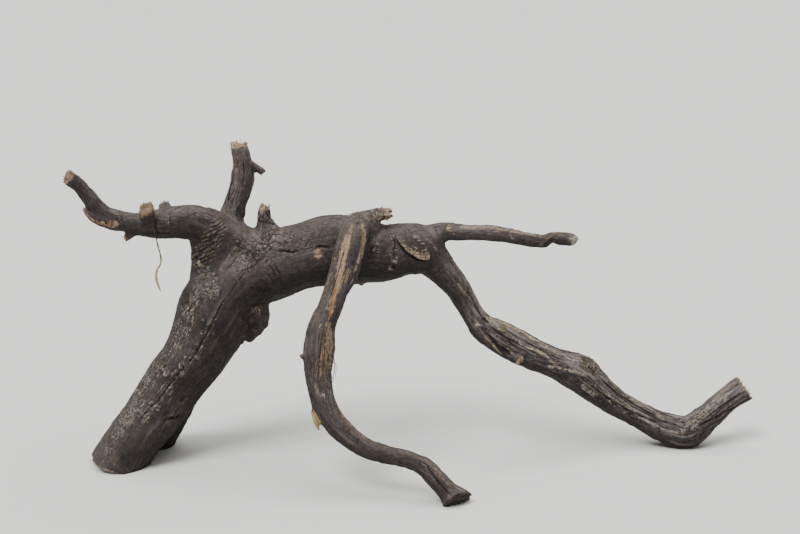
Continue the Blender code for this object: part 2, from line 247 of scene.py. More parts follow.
def scramble(x, y, z, seed):
    """A number from 0 to 1 for each place of whole numbers, the same each run."""
    h = (x.astype(np.uint32) * np.uint32(374761393) + y.astype(np.uint32) * np.uint32(668265263)
         + z.astype(np.uint32) * np.uint32(2246822519) + np.uint32(seed) * np.uint32(3266489917))
    h = (h ^ (h >> np.uint32(13))) * np.uint32(1274126177)
    h = (h ^ (h >> np.uint32(15))) * np.uint32(2654435761)
    return ((h ^ (h >> np.uint32(16))) & np.uint32(0xFFFFFF)) / float(0xFFFFFF)


def cloud(places, seed, octaves=1):
    """Smooth noise from -1 to 1: scrambled corner values blended across each cube, in octaves."""
    total, weight, size = 0.0, 0.0, 1.0
    for octave in range(octaves):
        p = places * size
        cell = np.floor(p)
        f = p - cell
        f = f * f * (3 - 2 * f)
        c = cell.astype(np.int64)
        value = 0.0
        for corner in range(8):
            dx, dy, dz = corner & 1, corner >> 1 & 1, corner >> 2
            share = (np.where(dx, f[:, 0], 1 - f[:, 0]) * np.where(dy, f[:, 1], 1 - f[:, 1])
                     * np.where(dz, f[:, 2], 1 - f[:, 2]))
            value = value + share * scramble(c[:, 0] + dx, c[:, 1] + dy, c[:, 2] + dz, seed + octave)
        total = total + (value * 2 - 1) / size
        weight += 1 / size
        size *= 2
    return total / weight


def cells(places, seed):
    """Distance to the nearest of scattered points, one to a cube, and the second nearest's lead."""
    base = np.floor(places).astype(np.int64)
    first = np.full(len(places), 9.0)
    second = first.copy()
    for step in range(27):
        x, y, z = (base[:, 0] + step % 3 - 1, base[:, 1] + step // 3 % 3 - 1, base[:, 2] + step // 9 - 1)
        spot = np.stack([x + scramble(x, y, z, seed), y + scramble(x, y, z, seed + 1),
                         z + scramble(x, y, z, seed + 2)], 1)
        gap = np.linalg.norm(places - spot, axis=1)
        second = np.minimum(second, np.maximum(first, gap))
        first = np.minimum(first, gap)
    return first, second - first


def ramp(low, high, value):
    """0 below low, 1 above high, and a smooth step between."""
    t = np.clip((value - low) / (high - low), 0, 1)
    return t * t * (3 - 2 * t)


def patch(points, places):
    """How far each point is in any of the patches (x, y, z, reach), 0 to 1: a bell round each."""
    share = np.zeros(len(points))
    for x, y, z, reach in places:
        share = np.maximum(share, np.exp(-((points - (x, y, z)) ** 2).sum(1) / reach ** 2))
    return share


def within(reach, gap, blur=EDGE_BLUR):
    """1 inside a reach, 0 outside it, with a soft edge."""
    return np.clip(0.5 + (reach - gap) / blur, 0, 1)


def tapered(reached):
    """1 halfway along a line, falling to 0 at its ends."""
    return np.sqrt(np.clip(np.sin(math.pi * reached), 0, 1))


def limb_index(limb):
    """Where a limb stands in the list of limbs."""
    return next(i for i, row in enumerate(LIMBS) if row[0] is limb)


def limb_places(points):
    """Which limb's skin each point lies on, and its place along and across that limb.

    The limb is the one whose middle line is nearest, counted in that limb's half widths. The
    place is the run along the middle line and the two offsets across it, so bark drawn in it
    follows every bend. lead is how much nearer that limb is than the next.
    """
    best, second = np.full(len(points), 9.0), np.full(len(points), 9.0)
    owner = np.zeros(len(points), int)
    place = np.zeros((len(points), 3))
    left = np.zeros(len(points))
    for index, limb in enumerate(LIMBS):
        centre, half, _, tangent, side, away, run = limb_frame(limb[0], RING_STEP)
        reach = 1.5 * half.max()
        near = np.flatnonzero(((points > centre.min(0) - reach) & (points < centre.max(0) + reach)).all(1))
        for part in np.array_split(near, len(near) // 20000 + 1):
            p = points[part]
            gap = (p ** 2).sum(1)[:, None] - 2 * p @ centre.T + (centre ** 2).sum(1)
            ratio = np.sqrt(np.maximum(gap, 0)) / half[:, 0]
            k = ratio.argmin(1)
            r = ratio[np.arange(len(part)), k]
            off = p - centre[k]
            mine = r < best[part]
            second[part] = np.where(mine, best[part], np.minimum(second[part], r))
            hit = part[mine]
            k, off = k[mine], off[mine]
            best[hit] = r[mine]
            owner[hit] = index
            place[hit] = np.stack([run[k] + (off * tangent[k]).sum(1), (off * side[k]).sum(1),
                                   (off * away[k]).sum(1)], 1)
            left[hit] = run[-1] - place[hit, 0]
    return owner, place, left, second - best


def off_line(places, line):
    """Distance of each place to a line of places, and the share of the line reached there."""
    line = np.array(line, float)
    nearest, reached = np.full(len(places), np.inf), np.zeros(len(places))
    for i, (start, end) in enumerate(zip(line[:-1], line[1:])):
        way = end - start
        share = np.clip((places - start) @ way / (way @ way), 0, 1)
        gap = np.linalg.norm(places - start - share[:, None] * way, axis=1)
        reached = np.where(gap < nearest, (i + share) / (len(line) - 1), reached)
        nearest = np.minimum(nearest, gap)
    return nearest, reached


# Linear colours of the finishes.
DARK_BARK = (0.040, 0.032, 0.032)
GREY_BARK = (0.0985, 0.0785, 0.0795)
DUST = (0.228, 0.182, 0.155)
# The dark of cracks, also laid as painted shade in hollows, in holes and below the scar's rim.
CRACK_AND_PAINTED_SHADE = (0.010, 0.0075, 0.006)
SILVER = (0.262, 0.232, 0.220)
CREAM = (0.42, 0.315, 0.20)
WHITE = (0.46, 0.41, 0.35)
ORANGE = (0.27, 0.15, 0.075)
TAN = (0.22, 0.155, 0.10)
SAND = (0.30, 0.235, 0.165)
YELLOW = (0.44, 0.33, 0.14)
FLECK = (0.36, 0.32, 0.27)
PINK = (0.29, 0.195, 0.145)
YELLOW_BROWN = (0.20, 0.145, 0.075)
FLESH = (0.37, 0.25, 0.165)
DIM_WOOD = (0.06, 0.048, 0.044)
# Painted light: the paler, warmer tint of bark that faces up.
PAINTED_TOP_LIGHT = (0.155, 0.122, 0.102)
RED = (0.15, 0.055, 0.035)
OLIVE = (0.17, 0.14, 0.065)
BROWN = (0.095, 0.063, 0.042)
WOOD_ROUGHNESS = 0.85
WOOD_SHINE = 0.25
# Painted shade: how much the tint darkens on the underside, and in the shaded places.
UNDERSIDE_PAINTED_SHADE = 0.74      # how much darker the underside is, and the shaded places
SHADE_DARK = 0.36

# Grooves on the front: x and z along each, half width, depth.
GROOVES = [
    ([(-247, 224), (-256, 209), (-264, 191), (-270, 180), (-279, 166), (-288, 149), (-298, 137),
      (-312, 121), (-326, 103), (-337, 89), (-347, 81), (-361, 62)], 0.8, 2.4),
    ([(-331, 62), (-322, 66), (-315, 64), (-307, 70)], 2.2, 3.0),
    ([(-184, 277), (-175, 278), (-167, 276), (-158, 278)], 1.3, 3.0),
    ([(-56, 292), (-51, 280), (-54, 268)], 3.0, 1.2),
    ([(-47, 256), (-43, 253), (-40, 257)], 1.8, 3.0),
    ([(-327, 326), (-327, 315), (-325, 304)], 1.4, 1.6),
    ([(-44, 297), (-39, 285), (-42, 271), (-38, 262)], 1.3, 0.9),
    ([(212, 93), (226, 81), (248, 64), (270, 51), (291, 41), (308, 36)], 1.5, 3.0),
    ([(72, 184), (84, 172), (100, 160), (118, 146)], 1.7, 2.2),
    ([(76, 166), (88, 155), (100, 144), (110, 136)], 1.4, 2.2),
    ([(-138, 283), (-130, 283), (-118, 282)], 1.2, 2.2),
    ([(-100, 292), (-104, 262), (-112, 238), (-122, 208)], 0.9, 1.0),
    ([(54, 216), (66, 192), (80, 172)], 1.6, 2.0),
    ([(228, 96), (250, 74), (274, 57), (304, 42)], 1.3, 1.5),
    ([(353, 33), (370, 40), (387, 48), (407, 56)], 1.8, 2.0),
]

# Ridges: places along each on the finished surface, half width, height, colour and its strength.
RIDGES = [
    ([(78, 67, 183), (85, 64, 179), (104, 63, 172), (124, 64, 162), (139, 62, 152), (153, 63, 144),
      (173, 66, 134)], 2.8, 1.8, CREAM, 0.66),
    ([(72, 73, 191), (79, 62, 180), (94, 53, 169), (113, 49, 157), (124, 49, 148), (146, 53, 139),
      (158, 54, 129), (170, 55, 119), (184, 56, 115)], 1.5, 2.4, CREAM, 0.72),
    ([(66, 60, 177), (73, 56, 162), (85, 52, 151), (96, 52, 139), (106, 57, 127)], 1.5, 2.0, CREAM, 0.66),
    ([(90, 50, 156), (102, 49, 146), (113, 49, 136), (120, 50, 131)], 2.2, 2.4, TAN, 0.5),
    ([(140, 57, 148), (160, 60, 137), (180, 62, 128), (192, 63, 123)], 1.4, 1.4, CREAM, 0.62),
    ([(137, 51, 130), (152, 53, 121), (164, 55, 114), (180, 55, 108)], 1.6, 1.4, SILVER, 0.5),
    ([(121, 52, 134), (116, 51, 128), (110, 52, 131), (104, 50, 139)], 3.4, 3.0, SAND, 0.55),
    ([(244, 71, 79), (261, 74, 64), (281, 75, 49)], 1.6, 1.6, SAND, 0.6),
    ([(255, 77, 75), (281, 77, 58), (308, 75, 45)], 1.6, 1.2, SILVER, 0.55),
    ([(291, 68, 33), (307, 66, 30), (326, 63, 24)], 1.8, 1.6, SAND, 0.58),
    ([(373, 80, 61), (396, 85, 79), (405, 86, 86)], 2.0, 1.4, TAN, 0.55),
    ([(192, 60, 120), (204, 67, 120), (215, 69, 113), (222, 70, 107)], 2.2, 2.6, BROWN, 0.5),
    ([(-327, 17, 70), (-318, 19, 76), (-308, 22, 82), (-299, 25, 90)], 1.8, 1.6, SAND, 0.5),
    ([(-5, 49, 294), (8, 49, 282), (18, 53, 263)], 2.2, 0.8, DUST, 0.5),
    ([(189, 55, 114), (199, 56, 110), (211, 58, 104)], 2.6, 2.6, SAND, 0.58),
    ([(190, 70, 127), (204, 76, 126), (217, 79, 118), (226, 75, 108)], 4.0, 2.6, BROWN, 0.45),
    ([(220, 67, 105), (240, 76, 91), (259, 76, 70), (283, 77, 57), (312, 73, 42), (333, 70, 37)],
     1.8, 1.4, TAN, 0.52),
    ([(230, 60, 78), (254, 66, 62), (280, 70, 44), (297, 68, 36), (315, 65, 28), (332, 63, 26)],
     2.0, 1.5, SILVER, 0.62),
    ([(328, 64, 26), (349, 67, 36), (370, 73, 54), (387, 77, 66), (401, 79, 76), (411, 79, 80)],
     3.0, 1.2, SAND, 0.5),
    ([(23, 60, 269), (36, 64, 251), (47, 65, 234), (59, 70, 213), (68, 71, 195)], 2.0, 1.2, PINK, 0.5),
    ([(26, 55, 248), (34, 57, 235), (45, 61, 220), (60, 66, 201)], 1.8, 1.2, SAND, 0.52),
    ([(-227, 43, 294), (-235, 36, 283), (-243, 35, 272), (-252, 32, 260), (-259, 28, 248)],
     1.2, 0.9, SAND, 0.55),
    ([(-286, 27, 222), (-294, 27, 210), (-304, 31, 194), (-314, 38, 179)], 1.8, 1.2, CREAM, 0.62),
    ([(-245, 26, 222), (-256, 20, 204), (-264, 17, 186), (-276, 16, 166)], 1.3, 0.7, SAND, 0.45),
    ([(-9, -88, 54), (7, -95, 42), (19, -100, 32), (32, -104, 22)], 2.6, 1.4, TAN, 0.4),
    ([(-3, -95, 42), (8, -100, 31), (23, -106, 19)], 2.0, 1.0, SILVER, 0.45),
    ([(-80, 43, 322), (-75, 39, 318), (-70, 39, 313)], 1.8, 1.8, SAND, 0.6),
    ([(-71, 51, 324), (-66, 48, 318), (-63, 48, 312)], 1.8, 1.8, SAND, 0.6),
    ([(-63, 54, 326), (-58, 51, 322), (-55, 51, 314)], 1.8, 1.8, CREAM, 0.55),
    ([(-206, 62, 306), (-206, 63, 316), (-206, 63, 326)], 2.0, 1.6, SAND, 0.55),
    ([(-190, 66, 304), (-195, 65, 314), (-200, 65, 326)], 2.0, 1.6, SAND, 0.55),
    ([(-366, -8, 333), (-364, -11, 327), (-366, -10, 321)], 1.6, 1.2, DARK_BARK, 0.5),
    ([(-112, -24, 214), (-110, -22, 222), (-117, -24, 224), (-124, -20, 218)], 2.4, 0.8, WHITE, 0.42),
    ([(101, 36, 298), (106, 34, 293), (112, 33, 289)], 1.6, 1.0, SAND, 0.5),
    ([(124, 30, 284), (134, 27, 284), (142, 26, 289), (150, 24, 297), (160, 20, 302)], 2.0, 1.2, TAN, 0.45),
]

# Bare or coloured strips: places along each, half width, colour, how far the wood lies below
# the bark, and how strong the colour is.
STRIPS = [
    ([(-258, 20, 206), (-272, 20, 182), (-290, 21, 150), (-312, 20, 123), (-337, 13, 92), (-352, 6, 74)], 7.5,
     FLECK, -0.1, 0.33),
    ([(-270, 30, 236), (-286, 28, 214), (-306, 26, 172), (-330, 26, 140), (-356, 20, 98), (-384, 6, 52)],
     11.0,
     FLECK, -0.1, 0.33),
    ([(-228, 28, 264), (-212, 34, 276), (-196, 40, 284), (-176, 44, 292)], 9.0, FLECK, 0.0, 0.30),
    ([(-409, -4, 8), (-399, -16, 3), (-384, -22, 1), (-366, -20, 1)], 2.4, SAND, 0.0, 0.66),
    ([(-404, -4, 20), (-394, -14, 20), (-380, -16, 24)], 8.0, BROWN, 0.0, 0.42),
    ([(200, 57, 100), (230, 64, 78), (262, 70, 54), (300, 66, 32)], 7.0, FLECK, 0.0, 0.34),
    ([(326, 63, 24), (350, 66, 36), (372, 73, 56), (392, 77, 68)], 6.0, FLECK, 0.0, 0.40),
    ([(-91, 26, 318), (-93, 16, 307), (-97, 7, 296), (-101, 0, 283)], 3.0, TAN, 0.5, 0.66),
    ([(-95, 12, 303), (-99, 4, 291), (-103, -2, 277), (-106, -7, 260), (-110, -12, 244)], 5.6, FLESH, 0.7,
     0.80),
    ([(-92, 2, 270), (-97, -4, 258), (-104, -9, 247), (-110, -14, 236)], 3.4, YELLOW_BROWN, 0.3, 0.76),
    ([(-108, -10, 250), (-112, -14, 238), (-115, -19, 225), (-118, -25, 210)], 4.2, ORANGE, 0.4, 0.68),
    ([(-79, 25, 317), (-76, 19, 303), (-76, 16, 293), (-79, 8, 280), (-84, 1, 271)], 4.0, SAND, 0.5, 0.64),
    ([(-79, 24, 314), (-77, 19, 303), (-77, 16, 293), (-79, 10, 284)], 2.0, ORANGE, 0.2, 0.86),
    ([(-84, 1, 272), (-89, -4, 256), (-94, -6, 239), (-99, -8, 224)], 1.5, SAND, 0.4, 0.60),
    ([(-109, 8, 282), (-114, 2, 270), (-121, -4, 250), (-130, -8, 228)], 1.5, YELLOW_BROWN, 0.1, 0.60),
    ([(-130, -22, 214), (-136, -28, 200), (-139, -34, 182)], 1.6, TAN, 0.1, 0.52),
    ([(-106, -26, 204), (-107, -32, 186), (-107, -40, 168)], 2.4, SAND, 0.3, 0.54),
    ([(-122, -28, 208), (-121, -33, 190), (-121, -40, 170), (-121, -48, 150), (-122, -54, 134)], 3.0,
     YELLOW_BROWN, 0.3, 0.58),
    ([(-117, -28, 204), (-117, -31, 188), (-116, -37, 166), (-117, -44, 147)], 3.6, TAN, 0.5, 0.62),
    ([(-124, -36, 188), (-126, -42, 174), (-129, -47, 158), (-131, -52, 145)], 3.4, ORANGE, 0.4, 0.50),
    ([(-135, -50, 106), (-134, -57, 92), (-131, -59, 81)], 5.5, YELLOW, 0.0, 0.98),
    ([(-117, -51, 129), (-113, -49, 116), (-105, -56, 100), (-93, -63, 87), (-79, -69, 75), (-57, -73, 66)],
     1.6, ORANGE, 0.2, 0.58),
    ([(-134, -54, 136), (-132, -58, 128), (-127, -59, 122)], 1.5, PINK, 0.2, 0.60),
    ([(-131, -54, 133), (-127, -58, 125), (-121, -59, 119)], 1.0, WHITE, 0.2, 0.60),
    ([(-111, 2, 276), (-115, -2, 257), (-122, -6, 240), (-130, -8, 222), (-137, -12, 206)], 1.3, OLIVE,
     0.2, 0.55),
    ([(-395, -16, 327), (-388, -15, 322), (-380, -14, 320)], 3.0, ORANGE, 0.5, 0.72),
    ([(-405, -18, 338), (-398, -18, 330), (-390, -16, 324)], 2.4, PINK, 0.5, 0.70),
    ([(40, 55, 303), (71, 47, 304), (94, 41, 302), (127, 34, 299), (140, 29, 298)], 2.2, SAND, 0.2, 0.66),
    ([(21, 59, 305), (27, 57, 306), (33, 55, 305)], 2.0, ORANGE, 0.2, 0.56),
    ([(24, 56, 296), (30, 55, 295), (38, 54, 293)], 2.0, YELLOW_BROWN, 0.2, 0.56),
    ([(-235, 70, 392), (-236, 66, 366), (-239, 63, 348), (-242, 62, 335)], 1.6, TAN, 0.2, 0.52),
    ([(-226, 68, 384), (-228, 64, 360), (-232, 63, 342)], 1.3, SAND, 0.2, 0.48),
    ([(150, 62, 147), (166, 62, 139), (182, 64, 133)], 2.2, PINK, 0.2, 0.5),
    ([(-26, 52, 298), (-18, 45, 296), (-11, 45, 290), (-4, 46, 283)], 2.8, PINK, -0.4, 0.52),
    ([(152, 53, 121), (164, 54, 119), (174, 55, 116), (183, 55, 115)], 1.8, WHITE, -0.2, 0.66),
    ([(-382, 20, 88), (-392, 12, 64), (-404, 6, 40)], 3.0, SAND, -0.3, 0.40),
    ([(-409, -2, 24), (-402, -14, 8), (-390, -22, 2)], 2.0, SAND, 0.0, 0.55),
    ([(-308, 24, 158), (-324, 28, 138), (-342, 26, 116)], 3.5, DUST, -0.2, 0.45),
    ([(201, 57, 94), (209, 59, 86), (219, 64, 76)], 4.2, SILVER, -0.4, 0.62),
]

# Coloured spots: place, reach, colour, strength. The dark spots in the hub's holes and beside the burl are
# painted shade.
SPOTS = [
    ((-134, 33, 274), 7.5, PINK, 0.95), ((-170, 37, 277), 4.0, CRACK_AND_PAINTED_SHADE, 0.9),
    ((-43, 39, 255), 3.4, CRACK_AND_PAINTED_SHADE, 0.75), ((-39, 39, 263), 2.4, WHITE, 0.8),
    ((-46, 41, 249), 2.2, CRACK_AND_PAINTED_SHADE, 0.7),
    ((-64, 42, 288), 6.0, FLECK, 0.40), ((-60, 40, 276), 5.0, FLECK, 0.40), ((-48, 44, 286), 5.0, BROWN, 0.5),
    ((-372, -12, 322), 5.5, CREAM, 0.80), ((-378, -13, 325), 4.0, ORANGE, 0.6),
    ((-46, 60, 313), 5.0, YELLOW, 0.95),
    ((-56, 58, 324), 5.0, PINK, 0.9), ((-52, 58, 327), 4.0, WHITE, 0.7), ((-420, -30, 386), 3.5, RED, 0.7),
    ((27, 56, 300), 4.4, YELLOW, 0.75), ((124, 42, 130), 2.6, YELLOW_BROWN, 0.98),
    ((110, 50, 138), 5.0, TAN, 0.6),
    ((98, 56, 170), 6.0, OLIVE, 0.66), ((-387, -16, 324), 4.5, CREAM, 0.70),
    ((-378, -14, 321), 4.0, CREAM, 0.6),
    ((-346, 2, 331), 5.0, SAND, 0.62), ((-312, 13, 326), 2.6, WHITE, 0.8), ((-312, 12, 319), 2.0, WHITE, 0.6),
    ((-368, 30, 96), 5.0, CREAM, 0.60), ((66, 60, 175), 5.0, WHITE, 0.56), ((186, 56, 114), 3.6, WHITE, 0.9),
    ((-250, 19, 216), 4.0, WHITE, 0.52), ((-277, 17, 192), 4.0, WHITE, 0.50),
    ((-268, 17, 192), 4.0, WHITE, 0.50),
    ((-266, 18, 176), 4.5, WHITE, 0.54), ((-262, 20, 164), 4.0, WHITE, 0.5),
    ((-308, 16, 135), 5.0, WHITE, 0.46),
    ((-351, 2, 65), 5.0, WHITE, 0.46), ((-336, 8, 81), 5.0, WHITE, 0.5), ((-322, 14, 100), 5.0, SAND, 0.46),
    ((-222, 34, 303), 5.0, PINK, 0.6), ((-226, 36, 300), 3.0, RED, 0.7), ((-128, -31, 200), 6.0, WHITE, 0.42),
    ((-122, -32, 204), 4.0, PINK, 0.5), ((26, -109, 14), 4.0, PINK, 0.6), ((-155, -35, 166), 6.0, PINK, 0.7),
    ((-131, -60, 79), 3.0, ORANGE, 0.95), ((122, 46, 130), 4.4, CREAM, 0.9),
    ((116, 48, 127), 3.0, YELLOW, 0.7), ((-82, 62, 226), 8.0, BROWN, 0.5),
    ((-204, 62, 320), 6.0, SAND, 0.5), ((-214, 46, 200), 12.0, PINK, 0.42),
    ((-226, 40, 178), 14.0, CRACK_AND_PAINTED_SHADE, 0.40),
    ((204, 72, 118), 12.0, BROWN, 0.60), ((-60, 54, 318), 10.0, SAND, 0.52),
    ((-236, 52, 330), 8.0, SAND, 0.42),
    ((176, 13, 297), 6.0, WHITE, 0.6), ((-328, 10, 327), 8.0, BROWN, 0.4), ((-332, 10, 318), 7.0, SAND, 0.42),
]

# Fine dark lines: places along each, half width in mm.
LINES = [
    ([(-214, 28, 262), (-226, 22, 250), (-237, 18, 237), (-246, 17, 222)], 0.5),
    ([(-219, 22, 236), (-209, 25, 230), (-200, 31, 224)], 0.52),
    ([(-231, 26, 207), (-215, 36, 208), (-204, 46, 206)], 0.5),
    ([(-226, 28, 262), (-222, 33, 271), (-215, 38, 279), (-208, 42, 284)], 0.5),
    ([(-237, 19, 241), (-227, 21, 248), (-222, 24, 255), (-212, 27, 260), (-207, 31, 267),
      (-196, 33, 271)], 0.45),
    ([(-249, 28, 254), (-239, 31, 263), (-234, 34, 272)], 0.45),
    ([(-222, 28, 264), (-216, 30, 267), (-207, 36, 276), (-200, 38, 279), (-193, 45, 287)], 0.45),
    ([(-208, 50, 292), (-196, 41, 282), (-190, 39, 281)], 0.5),
    ([(-209, 59, 310), (-202, 57, 309), (-196, 57, 307), (-188, 60, 304)], 0.7),
    ([(-207, 60, 322), (-206, 58, 316), (-207, 58, 311)], 0.5),
    ([(-202, 60, 323), (-199, 60, 317), (-195, 60, 311)], 0.6),
    ([(-327, 2, 326), (-328, 4, 315), (-325, 7, 304)], 0.6),
    ([(-312, 17, 330), (-311, 12, 323), (-310, 12, 314)], 0.6),
    ([(-361, -4, 330), (-358, -2, 320), (-357, 2, 312)], 0.5),
    ([(239, 71, 83), (270, 75, 57), (302, 72, 41), (320, 68, 36)], 0.6),
    ([(357, 64, 20), (374, 68, 35), (399, 77, 49)], 0.7),
    ([(361, 68, 40), (382, 73, 56), (405, 76, 70), (413, 78, 76)], 0.6),
    ([(118, 57, 126), (124, 55, 133), (120, 52, 139)], 0.8),
    ([(192, 62, 116), (204, 66, 115), (214, 66, 108)], 0.8),
    ([(199, 72, 122), (210, 74, 118), (219, 74, 111)], 0.7),
    ([(-130, -64, 107), (-121, -67, 82), (-101, -72, 65), (-75, -78, 53)], 0.5),
    ([(-4, -90, 51), (14, -102, 28), (26, -108, 17)], 0.7),
    ([(-15, -91, 43), (3, -98, 28), (16, -103, 14)], 0.5),
    ([(-127, -38, 186), (-129, -46, 163), (-131, -54, 140)], 0.5),
    ([(-240, 68, 366), (-244, 66, 347), (-247, 63, 332)], 0.6),
    ([(-227, 70, 385), (-226, 65, 367), (-230, 63, 348)], 0.5),
    ([(-240, 60, 318), (-234, 58, 316), (-226, 58, 316)], 0.5),
    ([(-190, 31, 265), (-186, 28, 260), (-181, 27, 250), (-177, 37, 228)], 0.52),
    ([(-195, 29, 262), (-191, 27, 256), (-187, 27, 250), (-183, 32, 238)], 0.52),
    ([(-197, 25, 251), (-192, 26, 245), (-188, 28, 236)], 0.52),
    ([(-206, 23, 245), (-201, 25, 240), (-196, 27, 234)], 0.52),
    ([(-212, 23, 236), (-205, 26, 232), (-196, 31, 227)], 0.52),
    ([(-229, 28, 206), (-218, 34, 209), (-207, 42, 208)], 0.60),
    ([(-284, 38, 270), (-274, 32, 279), (-265, 30, 288)], 0.60),
    ([(-281, 35, 276), (-272, 31, 283), (-261, 30, 292)], 0.60),
    ([(-286, 42, 261), (-272, 33, 273), (-260, 32, 283)], 0.65),
    ([(-276, 31, 287), (-265, 29, 294), (-255, 31, 302)], 0.55),
    ([(-268, 28, 295), (-260, 29, 301), (-253, 32, 307)], 0.50),
    ([(-263, 28, 307), (-256, 31, 311), (-252, 38, 316)], 0.50),
    ([(-284, 41, 255), (-273, 34, 265), (-262, 33, 274)], 0.60),
    ([(-227, 35, 273), (-218, 37, 278), (-216, 34, 272), (-209, 38, 279)], 0.45),
    ([(-214, 40, 282), (-205, 43, 285), (-201, 38, 279), (-194, 42, 284), (-185, 44, 288)], 0.50),
    ([(-203, 49, 292), (-197, 46, 288), (-191, 49, 293)], 0.45),
    ([(-222, 29, 265), (-213, 32, 269), (-208, 29, 265), (-201, 33, 271), (-193, 32, 269)], 0.50),
    ([(-199, 36, 276), (-191, 38, 279), (-184, 36, 276)], 0.45),
    ([(-182, 37, 277), (-174, 38, 277), (-167, 37, 276), (-158, 38, 278), (-148, 37, 280),
      (-137, 36, 283)], 0.55),
    ([(-247, 17, 224), (-256, 18, 209), (-264, 20, 191), (-270, 22, 180), (-279, 22, 166), (-288, 22, 149),
      (-298, 21, 137)], 0.65),
    ([(-298, 21, 137), (-312, 21, 121), (-326, 18, 103), (-337, 15, 89), (-347, 9, 81)], 0.9),
    ([(-347, 9, 81), (-355, 5, 71), (-361, 1, 62)], 0.5),
    ([(-265, 21, 182), (-275, 22, 168), (-288, 22, 150), (-298, 20, 134)], 0.45),
    ([(-46, 54, 298), (-39, 43, 286), (-42, 40, 271), (-37, 39, 262)], 0.35),
    ([(-139, 33, 283), (-130, 33, 283), (-118, 33, 282)], 0.6),
    ([(212, 59, 93), (226, 66, 81), (248, 71, 64), (270, 71, 51), (291, 72, 41), (308, 68, 36)], 0.8),
    ([(228, 70, 97), (250, 74, 76), (274, 76, 59), (304, 73, 43)], 0.5),
    ([(353, 65, 33), (370, 68, 40), (387, 72, 48), (407, 78, 56)], 0.7),
    ([(84, 60, 176), (98, 55, 163), (116, 52, 150), (130, 52, 141)], 0.8),
    ([(78, 54, 164), (90, 51, 150), (100, 51, 140)], 0.8),
    ([(96, 50, 152), (106, 49, 142), (114, 50, 133)], 0.6),
    ([(62, 66, 199), (72, 66, 184), (84, 61, 174)], 0.6),
    ([(-34, 42, 284), (-27, 42, 274), (-17, 42, 266), (-6, 42, 262), (3, 43, 262)], 0.6),
    ([(-134, -40, 176), (-136, -48, 152), (-135, -54, 136)], 0.5),
    ([(-100, 2, 290), (-105, -2, 270), (-111, -8, 250), (-118, -14, 228)], 0.45),
    ([(-88, 14, 300), (-92, 4, 282), (-98, -4, 260), (-104, -10, 240)], 0.45),
    ([(-120, -56, 108), (-100, -66, 84), (-78, -72, 70)], 0.5),
]

# Where the bark is crusty and knobbly, where a burl swells, where fine cracks make a net, where
# it is pressed into short folds and where it is smooth: x, y, z, reach.
CRUST = [(-340, 6, 318, 8), (-372, -6, 330, 8), (-398, -16, 350, 7), (-300, 22, 318, 7), (-413, -26, 374, 7),
         (-281, 39, 256, 13), (-276, 34, 249, 15), (-268, 27, 241, 15), (-264, 20, 231, 14),
         (-282, 32, 234, 15), (-290, 30, 218, 12), (-299, 33, 202, 11), (-312, 38, 182, 11),
         (-340, 34, 130, 11), (-354, 30, 108, 13), (-366, 22, 90, 14), (-378, 16, 66, 14),
         (-388, 8, 46, 14), (-352, 8, 72, 12), (-60, 50, 320, 14), (-373, 4, 61, 12), (-383, 1, 50, 10),
         (-400, -2, 27, 9), (-325, 18, 126, 9), (-340, 31, 130, 10), (-300, 25, 178, 9), (-293, 23, 194, 9),
         (-268, 20, 190, 7), (-286, 20, 145, 6), (-306, 19, 124, 7), (-340, 14, 84, 8), (210, 72, 116, 12),
         (350, 66, 34, 9), (366, 71, 48, 9), (380, 74, 58, 8), (-228, 34, 298, 8), (-204, 60, 316, 9),
         (-43, 46, 292, 5), (-40, 40, 278, 5), (-40, 39, 264, 6), (-44, 40, 254, 6), (-62, 40, 280, 7)]
BURLS = [(-222, 54, 198, 24), (-212, 50, 184, 20), (-224, 56, 164, 18)]
NET = [(-277, 34, 272, 12), (-266, 30, 290, 12), (-150, 40, 284, 12), (-222, 29, 265, 18),
       (-204, 37, 278, 22), (-188, 45, 289, 18), (-174, 47, 293, 14), (-234, 33, 282, 14)]
FOLDS = [(-284, 40, 262, 14), (-274, 32, 277, 16), (-264, 29, 292, 15), (-256, 31, 306, 13)]
SMOOTH = [(20, 58, 245, 20), (36, 62, 222, 18), (48, 66, 204, 15), (150, 56, 112, 14), (250, 66, 46, 16),
          (-240, 38, 301, 18), (-245, 33, 266, 16), (-248, 19, 238, 14), (-246, 34, 284, 16),
          (-300, 40, 120, 20), (-290, 40, 90, 24)]
SWELLING = (204, 68, 112, 26)

# Where painted shade darkens the bark: x, y, z, reach.
SHADED = [(-110, 30, 238, 42), (-150, 30, 234, 36), (-60, 35, 243, 34), (-20, 42, 248, 26),
          (-60, -75, 55, 34), (-100, -62, 80, 28), (-20, -90, 40, 30), (15, -100, 20, 26),
          (-205, 50, 218, 30), (343, 66, 10, 22)]

# The healed oval on the hub: centre, directions of its half axes and their lengths.
SCAR_AT = (-17.0, 45.0, 279.0)
SCAR_LONG = (0.83, -0.08, -0.55)
SCAR_SHORT = (0.54, 0.22, 0.81)
SCAR_HALF = (24.0, 9.0)

# The plane of the sawn heel: a place on it, its slope and the way it faces, in degrees.
HEEL_AT = (-384.0, 20.0, 0.0)
HEEL_SLOPE = 13.0
HEEL_TURN = 11.0

# End faces that show wood: limb, colour, how far fibres stand out, length of the torn rim.
ENDS = [(RIGHT_ROOT, CREAM, 2.5, 2), (THIN_BRANCH, WHITE, 1.0, 4), (FRONT_ROOT, DIM_WOOD, 3.0, 1),
        (LEFT_BRANCH, PINK, 2.5, 5), (UPPER_BRANCH, CREAM, 4.5, 4), (SNAG, SAND, 5.0, 5),
        (TOP_STUB, CREAM, 7.0, 9), (TWIG, BROWN, 1.5, 0), (FRONT_STUB, TAN, 2.5, 12),
        (BACK_STUB, PINK, 3.0, 2), (TORN_STUB, PINK, 2.0, 3), (SPLINTER, ORANGE, 1.5, 5),
        (SPUR, PINK, 1.0, 3), (PEG, CREAM, 1.5, 3)]

